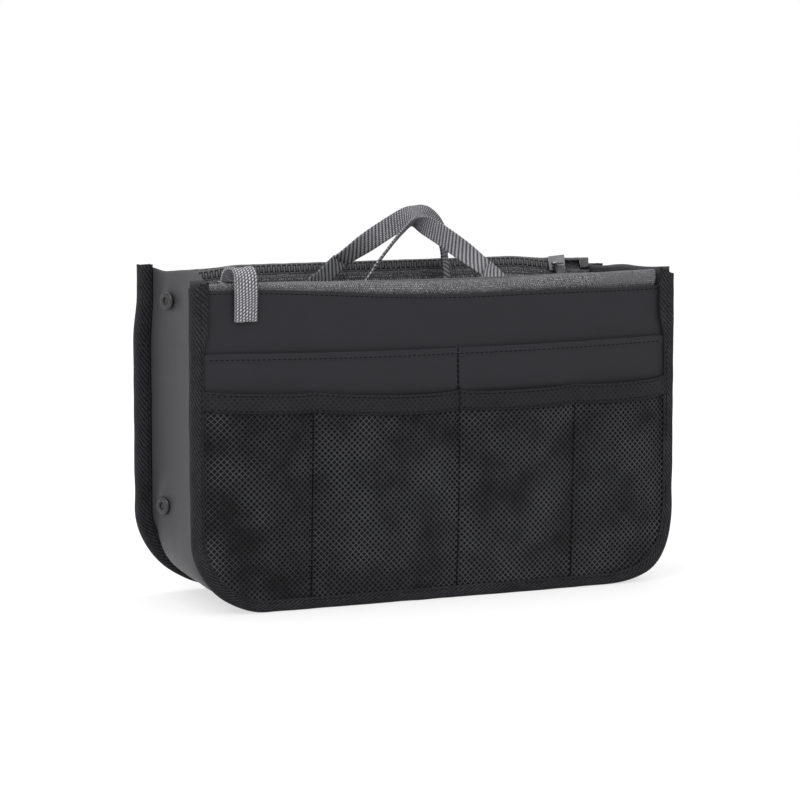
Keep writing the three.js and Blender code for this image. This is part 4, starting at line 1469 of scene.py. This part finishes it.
# Where a handle's free arch starts, at the left and right of its half, and the left leg's early twist
FLEX_SPOTS = {"front": (35 * MM, 37 * MM), "rear": (37 * MM, 30 * MM)}
LEFT_TWISTS = {"front": 83, "rear": 50}
LEG_SLANTS = {"front": (math.radians(44), math.radians(44)), "rear": (math.radians(14), math.radians(44))}
LEG_LEAN = math.radians(18)
FLEX_INSET = 19.5 * MM
FLEX_HEIGHT = HEIGHT + 1 * MM
FLEX_OVERLAP = 0.4 * MM
# The sewn ends, and the lengths over which the weave is laid
SEWN_ALONG = 46 * MM
SEWN_HEIGHT = 22 * MM
LEG_WEAVE = 75 * MM
ARCH_WEAVE = 130 * MM
ARCH_BEND = 28 * MM
ARCH_APEX = 4 * MM


class ORGANIZER_OT_handles(bpy.types.Operator):
    """Makes the webbing handles"""

    bl_idname = "organizer.handles"
    bl_label = "Handles"

    def execute(self, context):
        sizes = context.scene.organizer_sizes
        for half in HALVES:
            for hand, side in (("left", -1), ("right", 1)):
                piece(
                    f"{half}_handle_{hand}_leg", self.leg(half, side), "handle webbing", f"{half}_half",
                    [f"{half}_handle_{hand}_end"], sizes.webbing_ply,
                )
            loop = piece(
                f"{half}_handle_arch", self.arch(half), "handle webbing", f"{half}_handle",
                [f"{half}_handle_loop"], sizes.webbing_ply,
            )
            half_point(half, 0.0, FLEX_INSET, 0.0)
            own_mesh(loop)
        return {"FINISHED"}

    def strip(self, stations, along_length, weave=1):
        """Webbing through stations, each a centre and a direction across; weave is 1 or -1 for its slant."""
        width = bpy.context.scene.organizer_sizes.webbing_width

        def place(along, over):
            centre, across = stations(along)
            reach = (2 * over - 1) * width / 2
            return centre + across * reach, (along * along_length, reach * weave)

        return cloth_grid(64, 12, place)

    def leg(self, half, side):
        """A sewn end: flat on the inner wall, then rising clear of the zip to the flex line."""
        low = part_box(f"front_handle_{hand_of(('left', 'right'), side)}_end")[0]
        lying = low.y - OUTER_FACE + 0.45 * MM
        sewn_x = side * SEWN_ALONG
        sewn_top = low.z + SEWN_HEIGHT
        slant = hand_of(LEG_SLANTS[half], side)
        run = Vector((-side * math.sin(slant), math.sin(LEG_LEAN), math.cos(slant))).normalized()
        end = Vector((side * hand_of(FLEX_SPOTS[half], side), FLEX_INSET, FLEX_HEIGHT)) + run * FLEX_OVERLAP
        line = [
            Vector((sewn_x, lying, low.z)),
            Vector((sewn_x, lying, lerp(low.z, sewn_top, 0.5))),
            Vector((sewn_x, lying, sewn_top)),
            Vector((sewn_x, lying + 1.2 * MM, sewn_top + 9 * MM)),
            end - run * 26 * MM,
            end - run * 13 * MM,
            end,
        ]

        def stations(along):
            spot = spline(line, along)
            ahead = (spline(line, along + 0.01) - spline(line, along - 0.01)).normalized()
            across = Vector((1.0, 0.0, 0.0))
            across = (across - ahead * across.dot(ahead)).normalized()
            twist = math.radians(LEFT_TWISTS[half]) * smooth(along, 0.45, 0.8) if side < 0 else 0.0
            across = across * math.cos(twist) + ahead.cross(across) * math.sin(twist)
            return half_point(half, spot.x, spot.y, spot.z), half_way(half, across)

        return self.strip(stations, LEG_WEAVE, -1)

    def arch(self, half):
        """The free arch: its left leg turns edge-on at once, its right leg in two turns up to the top."""
        tilt = Matrix.Rotation(-HANDLE_LEANS[half], 3, "X")

        def stations(along):
            side = -1 if along < 0.5 else 1
            t = 1 - abs(2 * along - 1)
            slant = hand_of(LEG_SLANTS[half], side)
            start = Vector((-hand_of(FLEX_SPOTS[half], side), 0.0))
            second = start + Vector((math.sin(slant), math.cos(slant))) * ARCH_BEND
            last = Vector((-side * APEX_SHIFTS[half], HANDLE_RISES[half]))
            third = last - Vector((ARCH_APEX, 0.0))
            point = start * (1 - t) ** 3 + second * 3 * t * (1 - t) ** 2
            point += third * 3 * t * t * (1 - t) + last * t**3
            run = (second - start) * (1 - t) ** 2 + (third - second) * 2 * t * (1 - t)
            run += (last - third) * t * t
            run.normalize()
            if side < 0:
                twist = math.radians(lerp(LEFT_TWISTS[half], 90, smooth(t, 0.65, 1.0)))
            else:
                twist = math.radians(46 * smooth(t, 0.0, 0.4) + 44 * smooth(t, 0.55, 1.0))
            flat = math.cos(twist)
            centre = tilt @ Vector((-side * point.x, 0.0, point.y))
            across = tilt @ Vector((side * run.y * flat, -math.sin(twist), run.x * flat))
            spot = half_point(half, centre.x, FLEX_INSET + centre.y, FLEX_HEIGHT + centre.z)
            return spot, half_way(half, across)

        return self.strip(stations, ARCH_WEAVE)


# Half sections of a snap in millimetres, as (across, out of the cloth): two hearts, and the rim of both
SOCKET_HEART = ((0.0, 0.2), (2.2, 0.2), (2.35, 0.35), (2.35, 1.2), (2.6, 1.55), (3.0, 1.62))
STUD_HEART = (
    (0.0, 3.2), (1.2, 3.15), (1.75, 2.8), (1.9, 2.4), (1.6, 1.9), (1.5, 1.0), (2.6, 0.9), (3.0, 1.4)
)
SNAP_RIM = (
    (3.6, 1.75), (4.6, 1.7), (5.5, 1.35), (6.0, 0.7), (6.0, 0.15), (5.6, 0.0), (2.3, 0.0), (2.3, -1.4),
    (5.0, -1.4), (5.0, -1.8), (4.0, -2.2), (0.0, -2.2),
)
SNAP_RIM_RADIUS = 6.0 * MM
SNAP_SCALE = 0.86
SNAP_SEAT = 0.65 * MM


class ORGANIZER_OT_snaps(bpy.types.Operator):
    """Makes the snap fasteners of the ends"""

    bl_idname = "organizer.snaps"
    bl_label = "Snaps"

    def execute(self, context):
        for name in SNAPS:
            body = "front_half" if name.endswith("stud") else "rear_half"
            piece(f"{name}_cap", self.snap(name), "snap enamel", body, [name])
        return {"FINISHED"}

    def snap(self, name):
        """A domed rim with a socket or a ball, spun round its axis, with a washer inside the cloth."""
        sizes = bpy.context.scene.organizer_sizes
        low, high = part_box(name)
        side = -1 if low.x < 0 else 1
        is_socket = name.endswith("socket")
        cloth = HALF_WIDTH - sizes.seam_allowance + SNAP_SEAT
        scale = SNAP_SCALE * (high.z - low.z) / 2 / SNAP_RIM_RADIUS
        bm = bmesh.new()
        profile = [
            bm.verts.new((cloth + out * MM, across * scale * MM, 0.0))
            for across, out in (*(SOCKET_HEART if is_socket else STUD_HEART), *SNAP_RIM)
        ]
        edges = [bm.edges.new(pair) for pair in zip(profile, profile[1:])]
        bmesh.ops.spin(
            bm, geom=[*profile, *edges], cent=(0.0, 0.0, 0.0), axis=(1.0, 0.0, 0.0), angle=2 * math.pi,
            steps=sizes.round_sides, use_merge=True,
        )
        bmesh.ops.remove_doubles(bm, verts=bm.verts, dist=0.01 * MM)
        lean = Matrix.Rotation(-SOCKET_LEAN if is_socket else 0.0, 3, "Z")
        bmesh.ops.rotate(bm, verts=bm.verts, cent=(cloth, 0.0, 0.0), matrix=lean)
        centre = (low + high) / 2
        for vert in bm.verts:
            vert.co = Vector((side * vert.co.x, centre.y + vert.co.y, centre.z + vert.co.z))
        bmesh.ops.recalc_face_normals(bm, faces=bm.faces)
        return bm


HEM_STITCH = 1.4 * MM
FINE_YARN = 0.28 * MM
# Thick seam stitches, which are partly real stitching and partly painted shade along the seams' folds
SEAM_YARN_AND_SHADE = 0.65 * MM
BOX_HALF = 5 * MM
BOX_LOW = 2 * MM
BOX_HIGH = 20 * MM


class ORGANIZER_OT_stitching(bpy.types.Operator):
    """Makes the rows of stitches on the seams"""

    bl_idname = "organizer.stitching"
    bl_label = "Stitching"

    def execute(self, context):
        self.scratch = bpy.data.meshes.new("stitch")
        for half in HALVES:
            piece(f"{half}_stitches", self.stitches(half), "thread", f"{half}_half")
        bpy.data.meshes.remove(self.scratch)
        return {"FINISHED"}

    def row(self, bm, line, length, yarn=FINE_YARN, fill=0.36):
        """Stitches along a line, which gives the point at a share of the way."""
        pitch = bpy.context.scene.organizer_sizes.stitch_pitch
        count = max(2, round(length / pitch))
        reach = fill / count
        for step in range(count):
            share = (step + 0.5) / count
            start, end = line(share - reach), line(share + reach)
            run = end - start
            turn = run.to_track_quat("Z", "Y").to_matrix().to_4x4()
            size = Matrix.Diagonal((yarn, yarn, run.length / 2, 1.0))
            stitch = bmesh.new()
            bmesh.ops.create_uvsphere(
                stitch, u_segments=6, v_segments=4, radius=1.0,
                matrix=Matrix.Translation((start + end) / 2) @ turn @ size,
            )
            stitch.to_mesh(self.scratch)
            stitch.free()
            bm.from_mesh(self.scratch)

    def stitches(self, half):
        """Every row of one half: the bindings, the hems, the pocket seams and the handles' ends."""
        sizes = bpy.context.scene.organizer_sizes
        bm = bmesh.new()
        self.binding_row(bm, half, sizes.binding_face - 1.5 * MM, 0.0, 0.05)
        self.binding_row(bm, half, sizes.binding_back_reach - 2 * MM, BINDING_DEPTH, 0.95)
        self.level_row(bm, half, "panel", lambda x: panel_top(half, x), 2 * MM, 0.25 * MM)
        self.level_row(bm, half, "slip_pocket", slip_top, FOLD_BAND - 0.8 * MM, 0.6 * MM)
        for below in (HEM_STITCH, sizes.hem_height - HEM_STITCH):
            self.level_row(bm, half, "mesh_hem", net_top, below, 0.55 * MM)
        for seam in SEAMS:
            self.seam_row(bm, half, seam)
        for hand, side in (("left", -1), ("right", 1)):
            self.handle_box(bm, half, hand, side * SEWN_ALONG)
        return bm

    def binding_row(self, bm, half, inset, deep, over):
        """A row along a binding, on its face or on its inside."""
        radius = bpy.context.scene.organizer_sizes.corner_radius
        total = outline_length(radius)

        def line(share):
            point, inward = outline_at(share * total, radius)
            z = point.y + inward.y * inset
            z -= top_cut(half, point.x, z, over)
            return half_point(half, point.x + inward.x * inset, deep, z)

        self.row(bm, line, total)

    def level_row(self, bm, half, layer, top, below, lift):
        """A row along the upper edge of a layer."""
        reach = face_half()

        def line(share):
            x = lerp(-reach, reach, share)
            z = top(x) - below
            return half_point(half, x, face_inset(half, layer, x, z) - lift, z)

        self.row(bm, line, 2 * reach)

    def seam_row(self, bm, half, seam):
        """An upright row between two pockets, over the net, its hem and, on one seam, the slip pocket; its
        thick, nearly unbroken dark stitches are partly real stitching and partly painted shade of the seam's
        fold.
        """
        sizes = bpy.context.scene.organizer_sizes
        low = sizes.binding_face
        high = slip_top(seam) if seam == SLIP_SEAM else net_top(seam)

        def line(share):
            z = lerp(low, high, share)
            if z > net_top(seam):
                inset = face_inset(half, "slip_pocket", seam, z) - 0.5 * MM
            elif z > net_top(seam) - sizes.hem_height:
                inset = face_inset(half, "mesh_hem", seam, z) - 0.6 * MM
            else:
                inset = face_inset(half, "mesh_pocket", seam, z) - 0.5 * MM
            return half_point(half, seam, inset, z)

        self.row(bm, line, high - low, SEAM_YARN_AND_SHADE, 0.5)

    def handle_box(self, bm, half, hand, x):
        """A box of stitches on a handle's sewn end."""
        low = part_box(f"front_handle_{hand}_end")[0]
        inset = low.y - OUTER_FACE + 0.95 * MM
        left, right = x - BOX_HALF, x + BOX_HALF
        bottom, top = low.z + BOX_LOW, low.z + BOX_HIGH
        corners = [(left, bottom), (right, bottom), (right, top), (left, top)]
        for start, end in zip(corners, [*corners[1:], corners[0]]):
            def line(share):
                return half_point(half, lerp(start[0], end[0], share), inset, lerp(start[1], end[1], share))
            self.row(bm, line, math.dist(start, end))


WHITE = (1.0, 1.0, 1.0, 1.0)
FLOOR_GLOW = 2.5
FLOOR_GLOW_SHARE = 0.25
FLOOR_REACH = 12.0
SKY_LIGHT = 0.75


def seen_rays(tree):
    """1 for rays from the camera, a reflection or a clear surface, and 0 for the light on the pieces."""
    ray = add_node(tree, "ShaderNodeLightPath")
    seen = math_node(tree, "MAXIMUM", ray.outputs["Is Camera Ray"], ray.outputs["Is Glossy Ray"])
    return math_node(tree, "MAXIMUM", seen, ray.outputs["Is Transmission Ray"])


def mixed_shader(tree, share, first, second):
    """The output of two shaders mixed by a share."""
    mixed = add_node(tree, "ShaderNodeMixShader", {0: share})
    tree.links.new(first.outputs[0], mixed.inputs[1])
    tree.links.new(second.outputs[0], mixed.inputs[2])
    return mixed.outputs[0]


class ORGANIZER_OT_stage(bpy.types.Operator):
    """Makes the floor, the lamps, the sky and the camera"""

    bl_idname = "organizer.stage"
    bl_label = "Stage"

    def execute(self, context):
        scene = context.scene
        scene.view_settings.view_transform = "Standard"
        self.camera(scene)
        self.floor(scene)
        self.sky(scene)
        for name, place, size, power in (
            ("key", (-1.2, -1.05, 1.15), 1.1, 12.0),
            ("fill", (1.8, -1.9, 1.0), 1.6, 2.5),
            ("top", (0.1, 0.5, 2.0), 1.6, 12.0),
        ):
            self.lamp(scene, name, Vector(place), size, power)
        return {"FINISHED"}

    def camera(self, scene):
        """A camera that looks at the target from the view's direction."""
        view = scene.organizer_view
        lens = bpy.data.cameras.new("product view")
        lens.sensor_width = SENSOR_WIDTH
        lens.lens = view.focal_pixels / IMAGE_PIXELS * SENSOR_WIDTH
        camera = bpy.data.objects.new("product view", lens)
        scene.collection.objects.link(camera)
        flat = math.cos(view.elevation)
        back = Vector((
            math.sin(view.azimuth) * flat, -math.cos(view.azimuth) * flat, math.sin(view.elevation)
        ))
        camera.location = Vector(view.target) + back * view.distance
        camera.rotation_euler = back.to_track_quat("Z", "Y").to_euler()
        scene.camera = camera

    def floor(self, scene):
        """A pale floor that looks white to the camera and keeps the bag's shadow."""
        bm = bmesh.new()
        bmesh.ops.create_grid(bm, x_segments=1, y_segments=1, size=FLOOR_REACH)
        mesh = bpy.data.meshes.new("studio_floor")
        bm.to_mesh(mesh)
        bm.free()
        floor = bpy.data.objects.new("studio_floor", mesh)
        scene.collection.objects.link(floor)
        material, tree, shader = start_material("pale floor")
        shader.inputs["Base Color"].default_value = tinted(scene.organizer_colours.floor, 1.0)
        shader.inputs["Roughness"].default_value = 0.9
        glow = add_node(tree, "ShaderNodeEmission", {"Color": WHITE, "Strength": FLOOR_GLOW})
        share = math_node(tree, "MULTIPLY", seen_rays(tree), FLOOR_GLOW_SHARE)
        surface = mixed_shader(tree, share, shader, glow)
        tree.links.new(surface, tree.nodes["Material Output"].inputs["Surface"])
        mesh.materials.append(material)

    def sky(self, scene):
        """Soft light all round, white where the camera or a reflection sees it."""
        world = bpy.data.worlds.new("studio")
        scene.world = world
        world.use_nodes = True
        tree = world.node_tree
        tree.nodes.clear()
        soft = add_node(tree, "ShaderNodeBackground", {"Color": WHITE, "Strength": SKY_LIGHT})
        white = add_node(tree, "ShaderNodeBackground", {"Color": WHITE, "Strength": 1.0})
        output = add_node(tree, "ShaderNodeOutputWorld")
        tree.links.new(mixed_shader(tree, seen_rays(tree), soft, white), output.inputs["Surface"])

    def lamp(self, scene, name, place, size, power):
        """A soft square lamp that faces the bag."""
        light = bpy.data.lights.new(name, "AREA")
        light.energy = power
        light.size = size
        lamp = bpy.data.objects.new(name, light)
        scene.collection.objects.link(lamp)
        lamp.location = place
        lamp.rotation_euler = (place - Vector((0.0, 0.0, HEIGHT / 2))).to_track_quat("Z", "Y").to_euler()


class ORGANIZER_PT_sidebar(bpy.types.Panel):
    """Lists the operators that make the bag"""

    bl_idname = "ORGANIZER_PT_sidebar"
    bl_label = "Purse Organizer Insert"
    bl_space_type = "VIEW_3D"
    bl_region_type = "UI"
    bl_category = "Organizer"

    def draw(self, context):
        for operator in OPERATORS:
            self.layout.operator(operator.bl_idname)


OPERATORS = (
    ORGANIZER_OT_stage,
    ORGANIZER_OT_panels,
    ORGANIZER_OT_net_pockets,
    ORGANIZER_OT_inner_walls,
    ORGANIZER_OT_bindings,
    ORGANIZER_OT_gusset,
    ORGANIZER_OT_zips,
    ORGANIZER_OT_sliders,
    ORGANIZER_OT_pull_ribbons,
    ORGANIZER_OT_handles,
    ORGANIZER_OT_snaps,
    ORGANIZER_OT_stitching,
)
CLASSES = (OrganizerSizes, OrganizerColours, OrganizerView, *OPERATORS, ORGANIZER_PT_sidebar)


def register():
    for item in CLASSES:
        bpy.utils.register_class(item)
    bpy.types.Scene.organizer_sizes = PointerProperty(type=OrganizerSizes)
    bpy.types.Scene.organizer_colours = PointerProperty(type=OrganizerColours)
    bpy.types.Scene.organizer_view = PointerProperty(type=OrganizerView)


def unregister():
    del bpy.types.Scene.organizer_view
    del bpy.types.Scene.organizer_colours
    del bpy.types.Scene.organizer_sizes
    for item in reversed(CLASSES):
        bpy.utils.unregister_class(item)


def main():
    """Makes every piece in order."""
    register()
    bpy.ops.organizer.stage()
    bpy.ops.organizer.panels()
    bpy.ops.organizer.net_pockets()
    bpy.ops.organizer.inner_walls()
    bpy.ops.organizer.bindings()
    bpy.ops.organizer.gusset()
    bpy.ops.organizer.zips()
    bpy.ops.organizer.sliders()
    bpy.ops.organizer.pull_ribbons()
    bpy.ops.organizer.handles()
    bpy.ops.organizer.snaps()
    bpy.ops.organizer.stitching()


if __name__ == "__main__":
    main()
